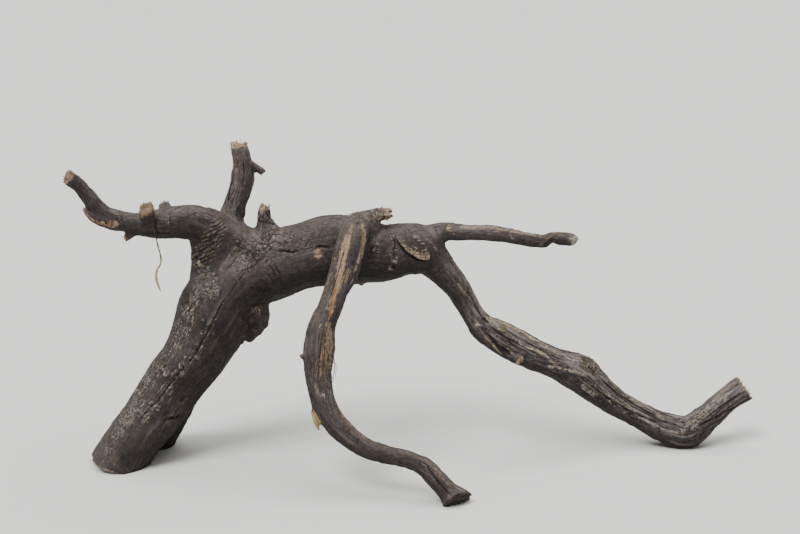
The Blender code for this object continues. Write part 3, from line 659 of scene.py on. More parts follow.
# Loose splinters at the ends: limb, how many, shortest and longest, half width, colour.
SPLINTERS = [
    (TOP_STUB, 26, 4.0, 9.0, 1.7, YELLOW), (TOP_STUB, 16, 3.0, 8.0, 1.5, FLESH),
    (TOP_STUB, 14, 2.0, 6.0, 1.2, WHITE),
    (UPPER_BRANCH, 26, 2.0, 6.0, 1.0, FLESH), (LEFT_BRANCH, 22, 1.5, 4.5, 0.9, CREAM),
    (SNAG, 14, 2.0, 6.0, 1.0, SAND), (RIGHT_ROOT, 26, 1.5, 5.0, 1.1, CREAM),
    (FRONT_ROOT, 36, 1.0, 3.0, 0.9, BROWN),
    (FRONT_STUB, 26, 1.0, 3.0, 1.2, CREAM), (BACK_STUB, 12, 1.5, 3.5, 0.8, SAND),
    (TORN_STUB, 12, 1.5, 4.0, 0.8, PINK),
    (SPLINTER, 10, 1.5, 4.5, 0.8, ORANGE), (TWIG, 6, 1.0, 2.5, 0.8, BROWN)]

SUNK = 3.0                 # how deep a splinter is rooted in the wood
FLOOR_GAP = 1.2            # how far a splinter stays above the floor
SCALY = 0.75               # how crusty a place must be to lift scales, and the share that do
SCALE_SHARE = 0.028

# The rootlet that hangs from the left branch: places down it, and half its width at each.
ROOTLET = [(-329, 14, 304, 1.2), (-327, 10, 293, 1.1), (-324, 8, 281, 1.1), (-323, 7, 275, 1.5),
           (-324, 8, 268, 1.2), (-329, 9, 260, 1.6), (-330, 8, 252, 1.8), (-329, 7, 245, 1.8),
           (-327, 6, 240, 1.6), (-325, 5, 235, 0.9)]

# Loose threads of bark: places along each.
THREADS = [
    [(-113, -33, 168, 0.4), (-112, -39, 158, 0.5), (-112, -44, 148, 0.5), (-114, -46, 138, 0.4)],
    [(-114, -36, 163, 0.3), (-110, -40, 154, 0.4), (-111, -46, 143, 0.3), (-115, -49, 134, 0.3)],
    [(30, 58, 262, 0.3), (38, 60, 250, 0.4), (46, 62, 236, 0.4), (52, 64, 224, 0.3)],
    [(-214, 70, 372, 0.3), (-216, 72, 358, 0.4), (-219, 73, 344, 0.3)],
]


def mixed(tint, share, colour):
    """Colours moved towards another by each point's share."""
    return tint + np.asarray(share)[:, None] * (np.array(colour) - tint)


def laid_over(accent, accent_share, share, colour):
    """Accents and their shares, with another colour laid wherever its share is the larger."""
    return np.where((share > accent_share)[:, None], colour, accent), np.maximum(accent_share, share)


def near_line(points, line):
    """Distance to a line on the surface, the share reached, and the side of it in the x-z plane."""
    squeeze = np.array((1, 0.5, 1))
    line = np.array(line, float)
    nearest, reached, hand = np.full(len(points), FAR), np.zeros(len(points)), np.ones(len(points))
    near = np.flatnonzero(((points > line.min(0) - 16) & (points < line.max(0) + 16)).all(1))
    places, knots = points[near] * squeeze, line * squeeze
    gaps, share_of, side_of = np.full(len(near), FAR), np.zeros(len(near)), np.ones(len(near))
    for i, (start, end) in enumerate(zip(knots[:-1], knots[1:])):
        way = end - start
        off = places - start
        share = np.clip(off @ way / (way @ way), 0, 1)
        gap = np.linalg.norm(off - share[:, None] * way, axis=1)
        closer = gap < gaps
        share_of = np.where(closer, (i + share) / (len(line) - 1), share_of)
        side_of = np.where(closer, np.sign(off[:, 0] * way[2] - off[:, 2] * way[0]), side_of)
        gaps = np.minimum(gaps, gap)
    nearest[near], reached[near], hand[near] = gaps, share_of, side_of
    return nearest, reached, hand


def scar_shape(seen, front):
    """The healed oval: a plate that rises to a sharp lower rim, blunt at one end.

    Gives its height, its mask, the mask of the shadow line below it, and each point's place
    along it and across it, from -1 to 1 inside.
    """
    half_long, half_short = SCAR_HALF
    out = seen - SCAR_AT
    a = out @ np.array(SCAR_LONG) / half_long
    b = out @ np.array(SCAR_SHORT)
    near = front * (np.abs(a) < 1.3) * (np.abs(b) < 30) * (np.abs(out[:, 1]) < 22)
    blunt = np.where(a > 0, 3.4, 1.8)
    lens = half_short * np.clip(1 - np.abs(a) ** blunt, 0, 1) ** 0.8 * (0.86 + 0.1 * a)
    inside = ramp(-lens - 0.8, -lens + 0.5, b) * (1 - ramp(lens - 1, lens + 3, b)) * (lens > 0.6) * near
    rise = (3.6 * (1 - ramp(-lens, lens + 5, b)) + 1.4 * ramp(0.7, 0.9, a)) * inside
    under = near * np.exp(-((b + lens + 1.6) / 1.2) ** 2) * ramp(0.6, 5, lens)
    return rise - 1.5 * under, inside, under, a, b / np.maximum(lens, 1)


def heel_way():
    """The direction square to the sawn heel, up into the trunk."""
    slope, turn = math.radians(HEEL_SLOPE), math.radians(HEEL_TURN)
    return np.array((math.cos(turn) * math.sin(slope), math.sin(turn) * math.sin(slope), math.cos(slope)))


def dressed(points, normals, edges):
    """The height of the bark above the plain skin in mm, its tints, and the shader's masks.

    Height is a sum of stringy ridges drawn along each limb, checks between long cells, lumps
    and fine grain, with the photographed ridges, grooves, folds, crusts, strips, scar and torn
    ends laid over it. Tint is the ground colour with painted light on top and painted shade in
    hollows and underneath, and accent the colour that the shader lays over it where
    accent_share and fine noise together pass a half.
    """
    seen = points - MIDDLE
    owner, place, left, lead = limb_places(points)
    own = ramp(0.03, 0.20, lead)
    ridge, check = np.array([limb[4:6] for limb in LIMBS])[owner].T
    front = np.clip(-3 * normals[:, 1], 0, 1)
    broad = cloud(points / 42, 3, 3)
    middle = cloud(points / 11, 5, 3)
    fine = cloud(points / 3.4, 7, 2)
    crust = ramp(0.30, 0.75, patch(seen, CRUST) + 0.30 * middle)
    burl = ramp(0.25, 0.7, patch(seen, BURLS) + 0.2 * middle)
    net = ramp(0.25, 0.65, patch(seen, NET) + 0.25 * middle)
    folds = ramp(0.3, 0.7, patch(seen, FOLDS) + 0.2 * middle) * (1 - crust)
    smooth = ramp(0.3, 0.6, patch(seen, SMOOTH)) * (1 - crust) * (1 - net)
    swell = patch(seen, [SWELLING])
    underside = ramp(0.1, 0.9, -normals[:, 2])

    # Stringy ridges and long checks.
    stringy = cloud(place / (60, 5.5, 5.5), 11, 3)
    ridge = ridge * (1 - 0.7 * ramp(-0.1, 0.7, -normals[:, 2]))
    sharp = 0.45 - np.abs(cloud(place / (110, 10, 10), 21, 2)) * 1.8
    height = own * ridge * (1.0 * stringy + 1.1 * sharp) * (1 - 0.6 * smooth)
    plates = 0.35 - np.abs(cloud((place + 4 * middle[:, None]) / (34, 11, 11), 91, 2)) * 1.4
    height += own * (1.3 - 0.5 * np.clip(ridge, 0, 1)) * plates * (1 - 0.6 * smooth)
    warped = place + 3.0 * np.stack([cloud(place / 10, 31), cloud(place / 10, 33), cloud(place / 10, 35)], 1)
    _, long_gap = cells(warped / (19, 6.0, 6.0), 41)
    checks = (1 - ramp(0.02, 0.15, long_gap)) * own * ramp(0.0, 0.35, cloud(points / 30, 45))
    checks = checks * check * (1 - smooth)
    height += (-0.9 * checks + 1.7 * broad * (1 - 0.3 * smooth) + 0.9 * middle * (1 - 0.5 * smooth)
               + 0.30 * fine)

    # Knobbly crust, the rough burl, the pressed folds and the knotty swelling.
    knob, _ = cells((points + 1.5 * middle[:, None]) / (4.0, 4.0, 5.2), 61)
    height += crust * (2.0 * (0.5 - knob) + 0.8)
    lump, _ = cells(points / 10.0, 67)
    height += burl * (3.2 * (0.5 - lump) + 1.6 * middle)
    along = (-0.42 * seen[:, 0] + 0.90 * seen[:, 2]) / 4.8 + 0.75 * middle + 0.9 * broad
    height += 0.8 * folds * (np.abs(np.sin(math.pi * along)) ** 0.5 - 0.5)
    height += swell * own * (1.5 * (0.4 - np.abs(cloud(points / 7, 73, 2)) * 1.6) + 1.2 * middle)

    # Ridges and grooves that follow the photograph.
    accent = np.tile(DUST, (len(points), 1))
    accent_share = np.zeros(len(points))
    bare = np.zeros(len(points))
    wander = 1.2 * cloud(points / 9, 71, 2)
    frayed = cloud(place / (16, 2.2, 2.2), 57, 2)
    for line, half, rise, colour, strength in RIDGES:
        gap, reached, _ = near_line(seen + wander[:, None] * 0.6, line)
        fade = tapered(reached)
        height += rise * np.exp(-(gap / half) ** 2) * fade
        share = strength * within(0.9 * half, gap) * (0.4 + 0.6 * fade)
        accent, accent_share = laid_over(accent, accent_share, share, colour)
    for line, half, deep in GROOVES:
        gap, reached = off_line(seen[:, ::2] + wander[:, None], line)
        height -= deep * front * np.exp(-(gap / half) ** 2) * tapered(reached)

    # Strips and spots.
    for line, half, colour, deep, strength in STRIPS:
        gap, reached, _ = near_line(seen, line)
        edge = half * (0.5 + 0.5 * tapered(reached)) + 0.5 * middle + 1.5 * frayed
        share = strength * within(edge, gap)
        height -= deep * ramp(0.3, 0.5, share)
        accent, accent_share = laid_over(accent, accent_share, share, colour)
        bare = np.maximum(bare, ramp(0.3, 0.6, share))
    for spot, size, colour, strength in SPOTS:
        gap = np.linalg.norm((seen - spot) * (1, 0.6, 1), axis=1)
        share = strength * within(size * 0.8, gap, 0.5 * size + 2)
        accent, accent_share = laid_over(accent, accent_share, share, colour)

    # Sparse bare streaks on the far side.
    streak = cloud(place / (70, 8, 8), 55, 2)
    share = 0.56 * ramp(0.30, 0.45, streak) * own * ramp(0.5, 0.9, ridge) * ramp(0.1, 0.6, normals[:, 1])
    accent, accent_share = laid_over(accent, accent_share, share, TAN)

    # The pale rim of the heel.
    rim = (seen - HEEL_AT) @ heel_way() + 0.7 * middle
    share = 0.66 * (1 - ramp(0.8, 2.4, rim)) * (1 - ramp(-396, -376, seen[:, 0]))
    accent, accent_share = laid_over(accent, accent_share, share, SAND)

    # The healed oval.
    rise, plate, under, a, b = scar_shape(seen, front)
    height = height * (1 - 0.7 * plate) + rise
    lip = ((b < -0.7) + (a > 0.86)) * (np.abs(a) < 1)
    share = plate * np.select([lip, a < -0.1, a > 0.5], [0.70, 0.26, 0.58], 0.56 - 0.5 * np.abs(b + 0.2))
    colour = np.select([lip[:, None], (a < -0.1)[:, None], (a > 0.45)[:, None]], [FLESH, TAN, PINK], CREAM)
    accent, accent_share = laid_over(accent, accent_share, share, colour)

    # Torn and cut ends: fibres stand out of the end face, and the rim is torn to bare wood.
    ended = np.zeros(len(points))
    fibres = cloud(place * (0.02, 1 / 2.4, 1 / 2.4), 81, 2)
    for limb, colour, rough, rim in ENDS:
        way = np.diff(np.array(limb[-2:], float)[:, :3], axis=0)[0]
        mine = owner == limb_index(limb)
        face = mine * ramp(0.25, 0.6, normals @ (way / np.linalg.norm(way))) * (1 - ramp(3.0, 5.5, left))
        torn = mine * within(rim * (0.8 + 0.8 * middle), left) * (rim > 0)
        height += face * rough * fibres
        share = np.maximum(0.72 * face, 0.66 * torn)
        accent, accent_share = laid_over(accent, accent_share, share, colour)
        ended = np.maximum(ended, np.maximum(face, 0.7 * torn))

    # The ground tint: grey and dark bark, paler on crests, painted light on top, and painted shade in hollows
    # and below.
    hollow = height - smoothed(height[:, None], edges, np.full(len(points), 0.5), HOLLOW_ROUNDS)[:, 0]
    grey = ramp(-0.5, 0.5, broad + 0.6 * middle)
    tint = mixed(np.tile(DARK_BARK, (len(points), 1)), 0.3 + 0.7 * grey, GREY_BARK)
    tint = mixed(tint, 0.5 * ramp(-0.2, 0.6, cloud(points / 24, 51, 3)) * (1 - grey), BROWN)
    # Painted light: up-facing bark is paler and warmer.
    tint = mixed(tint, 0.55 * ramp(0.15, 0.9, normals[:, 2]), PAINTED_TOP_LIGHT)
    tint = mixed(tint, own * 0.5 * ramp(0.9, 1.3, ridge) * ramp(-0.2, 0.5, stringy), SILVER)
    tint = mixed(tint, 0.75 * ramp(0.1, 0.9, hollow) * (1 - 0.5 * underside), DUST)
    tint = mixed(tint, 0.40 * np.maximum(net, folds), DUST)
    # Painted shade in the hollows and along the scar's lower rim.
    tint = mixed(tint, 0.85 * ramp(0.1, 1.1, -hollow), CRACK_AND_PAINTED_SHADE)
    tint = mixed(tint, 0.65 * under, CRACK_AND_PAINTED_SHADE)
    tint = mixed(tint, 0.25 * plate, BROWN)
    tint = mixed(tint, ended, BROWN)
    # Painted shade: the tint darkens where the skin faces down.
    tint *= (1 - UNDERSIDE_PAINTED_SHADE * ramp(-0.6, 0.6, -normals[:, 2]))[:, None]
    # Painted shade in the shaded places.
    tint *= (1 - SHADE_DARK * patch(seen, SHADED))[:, None]
    for limb, light in LIGHTNESS:
        tint *= (1 + (light - 1) * own * (owner == limb_index(limb)))[:, None]
    # Painted shade: the accents darken where the skin faces down.
    accent = accent * (1 - 0.45 * ramp(-0.3, 0.8, -normals[:, 2]))[:, None]
    bare = np.maximum(bare, ended)
    accent = mixed(accent, 0.40 * ramp(0.05, 0.5, cloud(place / (26, 3, 3), 59, 2)), CREAM)
    accent = accent * (1 + 0.30 * cloud(place / (20, 2.2, 2.2), 63, 2))[:, None]

    # Fine dark lines: the signed distance to the nearest, in its half widths, and its share.
    line_at, closest = np.full(len(points), 9.0), np.full(len(points), FAR)
    line_share = np.zeros(len(points))
    for line, half in LINES:
        gap, reached, hand = near_line(seen + 0.4 * wander[:, None], line)
        closer = gap < closest
        fade = np.clip(np.sin(math.pi * np.clip(reached, 0.02, 0.98)) * 3, 0, 1)
        line_at = np.where(closer, hand * gap / half, line_at)
        line_share = np.where(closer, (1 - ramp(1.3, 2.6, gap)) * fade, line_share)
        closest = np.minimum(closest, gap)
    values = {"drawn": np.stack([np.clip(line_at, -9, 9), line_share, along], 1),
              "zones": np.stack([crust, net, folds], 1),
              "finish": np.stack([bare, np.clip(ridge, 0, 1.3) * own * (1 - 0.6 * smooth), own], 1)}
    return height, tint, accent, accent_share, values, place


def read_array(items, key, width, kind=np.float32):
    """One vector from each item of a mesh's list, as the rows of an array."""
    flat = np.empty(len(items) * width, kind)
    items.foreach_get(key, flat)
    return flat.reshape(-1, width)


def read_mesh(mesh):
    """A mesh's points in mm and its edges, as arrays."""
    points = read_array(mesh.vertices, "co", 3).astype(float) / MM
    return points, read_array(mesh.edges, "vertices", 2, np.int32)


def put_points(mesh, points):
    """Move a mesh's points to places in mm."""
    mesh.vertices.foreach_set("co", (points * MM).astype(np.float32).ravel())
    mesh.update()


def put_values(mesh, name, kind, values):
    """Keep a value for each point of a mesh under a name."""
    layer = mesh.attributes.new(name, kind, "POINT")
    if kind == "FLOAT_COLOR":
        values = np.hstack([values, np.ones((len(values), 1))])
    key = {"FLOAT": "value", "FLOAT_VECTOR": "vector", "FLOAT_COLOR": "color"}[kind]
    layer.data.foreach_set(key, values.astype(np.float32).ravel())


def read_normals(mesh):
    """The outward direction at each point of a mesh."""
    return read_array(mesh.vertex_normals, "vector", 3).astype(float)


def trimmed(mesh):
    """Cut the mesh level at the floor and along the sawn heel, and close both faces."""
    bm = bmesh.new()
    bm.from_mesh(mesh)
    for place, normal in (((0, 0, 0), (0, 0, 1)), (HEEL_AT, heel_way())):
        bmesh.ops.bisect_plane(bm, geom=bm.verts[:] + bm.edges[:] + bm.faces[:], dist=1e-7,
                               plane_co=[v * MM for v in place], plane_no=normal, clear_inner=True)
        rim = [edge for edge in bm.edges if edge.is_boundary]
        made = bmesh.ops.holes_fill(bm, edges=rim, sides=0)
        bmesh.ops.triangulate(bm, faces=made["faces"])
    bm.to_mesh(mesh)
    bm.free()


def root_skin():
    """The whole root as one closed mesh, with its values for the shader."""
    mesh = fused_limbs()
    points, edges = read_mesh(mesh)
    weight = np.maximum(SKIN_BLEND, FORK_BLEND * patch(points, FORKS))
    points = smoothed(points, edges, weight, BLEND_ROUNDS)
    put_points(mesh, points)
    normals = read_normals(mesh)
    height, tint, accent, accent_share, values, place = dressed(points, normals, edges)
    put_points(mesh, points + height[:, None] * normals - MIDDLE)
    put_values(mesh, "tint", "FLOAT_COLOR", tint)
    put_values(mesh, "accent", "FLOAT_COLOR", accent)
    put_values(mesh, "accent_share", "FLOAT", accent_share)
    put_values(mesh, "grain", "FLOAT_VECTOR", place)
    for name, triples in values.items():
        put_values(mesh, name, "FLOAT_VECTOR", triples)
    mesh.calc_loop_triangles()
    skin = with_modifier(mesh, "DECIMATE", ratio=SKIN_TRIANGLES / len(mesh.loop_triangles),
                         use_collapse_triangulate=True)
    trimmed(skin)
    skin.shade_smooth()
    return skin


def along(stations, count):
    """Places and half widths evenly along a smooth curve through the stations."""
    line = middle_line(stations, 1.0)
    run = np.concatenate([[0], np.cumsum(np.linalg.norm(np.diff(line[:, :3], axis=0), axis=1))])
    at = np.linspace(0, run[-1], count)
    line = np.stack([np.interp(at, run, line[:, axis]) for axis in range(4)], 1)
    return line[:, :3], line[:, 3]


def strands(name, paths, widths, flat, side, tints):
    """Closed strands in one mesh: an oval profile carried along each path.

    At a ring whose tangent is T, with A the side squared to T and B the cross of the two, the
    points are path + width * (cos(a) * A + flat * sin(a) * B), a running round in six steps.
    """
    tangent = np.gradient(paths, axis=1)
    tangent /= np.linalg.norm(tangent, axis=2)[..., None]
    across = side[:, None] - (side[:, None] * tangent).sum(2)[..., None] * tangent
    across /= np.linalg.norm(across, axis=2)[..., None]
    other = np.cross(tangent, across)
    count, rings = paths.shape[:2]
    around = 6
    a = np.arange(around) * 2 * math.pi / around
    points = paths[:, :, None] + widths[:, :, None, None] * (
        np.cos(a)[:, None] * across[:, :, None] + flat * np.sin(a)[:, None] * other[:, :, None])
    i, j = np.meshgrid(np.arange(rings - 1), np.arange(around), indexing="ij")
    k = (j + 1) % around
    quads = np.stack([i * around + j, i * around + k, (i + 1) * around + k, (i + 1) * around + j], -1)
    first = (np.arange(count) * rings * around)[:, None, None]
    last = (rings - 1) * around
    caps = np.array([list(range(around - 1, -1, -1)), list(range(last, last + around))])
    mesh = bpy.data.meshes.new(name)
    faces = (quads.reshape(-1, 4) + first).reshape(-1, 4).tolist()
    faces += (caps + first).reshape(-1, around).tolist()
    mesh.from_pydata(((points.reshape(-1, 3) - MIDDLE) * MM).tolist(), [], faces)
    put_values(mesh, "tint", "FLOAT_COLOR", np.repeat(tints.reshape(-1, 3), around, axis=0))
    mesh.shade_smooth()
    return mesh


def end_splinters():
    """Small torn splinters that stand out of the ends: straight, thinning, a little bent."""
    paths, widths, sides, tints = [], [], [], []
    t = np.linspace(0, 1, 6)[:, None]
    for seed, (limb, count, short, long, stout, colour) in enumerate(SPLINTERS):
        cut = LIMBS[limb_index(limb)][2]
        centre, half, deep, tangent, side, away, _ = limb_frame(limb, RING_STEP)
        numbers = np.arange(count)
        chance = [scramble(numbers, numbers * 7 + k, numbers * 3, 500 + seed) for k in range(6)]
        a, r = chance[0] * 2 * math.pi, 0.94 * np.sqrt(chance[1])
        offset = ((half[-1] * r * np.cos(a))[:, None] * side[-1]
                  + (deep[-1] * r * np.sin(a))[:, None] * away[-1])
        if cut:
            face = np.array(cut) / np.linalg.norm(cut)
            offset = offset - ((offset @ face) / (tangent[-1] @ face))[:, None] * tangent[-1]
        way = tangent[-1] + 0.5 * (np.stack(chance[2:5], 1) - 0.5)
        way /= np.linalg.norm(way, axis=1)[:, None]
        length = (short + (long - short) * chance[5] ** 1.5)[:, None, None]
        start = centre[-1] + offset - SUNK * tangent[-1]
        turned = np.roll(way, 1, axis=1)
        path = start[:, None] + (length + SUNK) * t * way[:, None] + 0.15 * length * t ** 2 * turned[:, None]
        clear = path[:, :, 2].min(1) > FLOOR_GAP
        paths.append(path[clear])
        widths.append((stout * (0.5 + 0.6 * chance[3])[:, None] * (1.08 - t[:, 0]) ** 0.6)[clear])
        sides.append(turned[clear])
        shade = (0.7 + 0.5 * chance[4])[:, None, None] * np.array(colour) * (0.6 + 0.5 * t)
        tints.append(shade[clear])
    return strands("torn_splinters", np.vstack(paths), np.vstack(widths), 0.45, np.vstack(sides),
                   np.vstack(tints))


def hanging_rootlet():
    """The thin rootlet below the left branch: olive above, pale and flaky below."""
    count = 70
    path, width = along(ROOTLET, count)
    t = np.linspace(0, 1, count)
    down = np.stack([t, t * 0, t * 0], 1)
    width = width * (1 + 0.35 * cloud(down * 30, 601, 2))
    pale = ramp(0.40, 0.65, t + 0.15 * cloud(down * 20, 603))
    tint = mixed(np.tile(OLIVE, (count, 1)), pale, CREAM)
    return strands("rootlet", path[None], width[None], 0.8, np.array([[0.3, 1.0, 0.2]]), tint[None])


def loose_threads():
    """Torn threads of bark that hang clear of the root."""
    count = 24
    paths, widths = [np.stack(arrays) for arrays in zip(*(along(line, count) for line in THREADS))]
    tint = np.linspace(0.7, 1.1, count)[:, None] * TAN
    sides = np.tile((1.0, 0.3, 0.1), (len(THREADS), 1))
    return strands("loose_threads", paths, widths, 0.7, sides, np.stack([tint] * len(THREADS)))


def bark_scales(skin):
    """Small scales of bark lifting off the crusty places: flat ovals that curve away at one end."""
    points, _ = read_mesh(skin)
    points = points + MIDDLE
    normals = read_normals(skin)
    crust = read_array(skin.attributes["zones"].data, "vector", 3)[:, 0]
    numbers = np.arange(len(points))
    chosen = np.flatnonzero((crust > SCALY) & (scramble(numbers, numbers * 5, numbers * 11, 701) < SCALE_SHARE))
    chance = [scramble(chosen, chosen * 3 + k, chosen * 7, 703) for k in range(5)]
    normal = normals[chosen]
    way = np.array((0.5, 0.0, 0.86)) + 0.9 * (np.stack(chance[:3], 1) - 0.5)
    way -= (way * normal).sum(1)[:, None] * normal
    way /= np.linalg.norm(way, axis=1)[:, None]
    t = np.linspace(0, 1, 6)[:, None]
    length = (3.0 + 5.0 * chance[3] ** 2)[:, None, None]
    lift = (0.10 + 0.30 * chance[4])[:, None, None]
    paths = (points[chosen][:, None] + length * (t - 0.5) * way[:, None]
             + (0.1 + length * lift * t ** 2) * normal[:, None])
    widths = (0.26 * length[..., 0]) * np.sin(math.pi * (0.12 + 0.8 * t[:, 0])) ** 0.7
    ground = mixed(np.tile(GREY_BARK, (len(chosen), 1)), chance[1] ** 2, SAND)
    tints = (0.5 + 0.9 * chance[2])[:, None, None] * ground[:, None]
    return strands("bark_scales", paths, widths, 0.16, np.cross(normal, way), np.repeat(tints, 6, axis=1))


def add(tree, kind, *sources, **settings):
    """A shader node with its settings, and its inputs linked or set in order."""
    node = tree.nodes.new("ShaderNode" + kind)
    for name, value in settings.items():
        setattr(node, name, value)
    for socket, source in zip(node.inputs, sources):
        if isinstance(source, bpy.types.NodeSocket):
            tree.links.new(source, socket)
        elif source is not None:
            socket.default_value = source
    return node


def steps(tree, operation, a, b=None, c=None):
    """One step of arithmetic between shader values."""
    return add(tree, "Math", a, b, c, operation=operation).outputs[0]


def product(tree, first, *others):
    """Shader values multiplied together."""
    for other in others:
        first = steps(tree, "MULTIPLY", first, other)
    return first


def noise(tree, vector, size, detail, rough=0.6):
    """Noise about 0.5 over a vector, of the given fineness."""
    return add(tree, "TexNoise", vector, None, size, detail, rough).outputs[0]


def remap(tree, value, low, high, out_low=0.0, out_high=1.0):
    """A value moved from one range to another and held within it."""
    return add(tree, "MapRange", value, low, high, out_low, out_high).outputs[0]


def swung(tree, value, amount, base):
    """A base moved up or down by how far a noise is from its middle."""
    return steps(tree, "MULTIPLY_ADD", steps(tree, "SUBTRACT", value, 0.5), amount, base)


def stretched(tree, vector, scale, turn=(0, 0, 0)):
    """A vector turned, then scaled along its axes."""
    if any(turn):
        vector = add(tree, "Mapping", vector, None, turn).outputs[0]
    return add(tree, "Mapping", vector, None, None, scale).outputs[0]


def tinted(tree, base, share, colour):
    """A colour mixed towards another by a share."""
    node = add(tree, "Mix", data_type="RGBA")
    tree.links.new(share, node.inputs[0])
    tree.links.new(base, node.inputs[6])
    if isinstance(colour, bpy.types.NodeSocket):
        tree.links.new(colour, node.inputs[7])
    else:
        node.inputs[7].default_value = tuple(colour) + (1.0,)
    return node.outputs[2]


def toned(tree, colour, tone):
    """A colour times a tone."""
    node = add(tree, "VectorMath", colour, operation="SCALE")
    tree.links.new(tone, node.inputs["Scale"])
    return node.outputs[0]


def cracks(tree, vector, width):
    """Thin lines between cells: 1 on the line, 0 off it."""
    gap = add(tree, "TexVoronoi", vector, None, 1.0, feature="DISTANCE_TO_EDGE").outputs[0]
    return remap(tree, gap, width * 0.35, width, 1.0, 0.0)


def carried(tree, name, output="Vector"):
    """A value that the mesh carries at each point."""
    return add(tree, "Attribute", attribute_name=name).outputs[output]


def three(tree, name):
    """The three numbers of a vector that the mesh carries."""
    return list(add(tree, "SeparateXYZ", carried(tree, name)).outputs)


def new_material(name, roughness, specular):
    """A material with its node tree and its shader node."""
    material = bpy.data.materials.new(name)
    material.use_nodes = True
    shader = material.node_tree.nodes["Principled BSDF"]
    shader.inputs["Roughness"].default_value = roughness
    shader.inputs["Specular IOR Level"].default_value = specular
    return material, material.node_tree, shader


def raised(tree, shader, height, strength, distance):
    """Let a height tilt the surface that the shader sees."""
    bump = add(tree, "Bump")
    bump.inputs["Strength"].default_value = strength
    bump.inputs["Distance"].default_value = distance
    tree.links.new(height, bump.inputs["Height"])
    tree.links.new(bump.outputs[0], shader.inputs["Normal"])


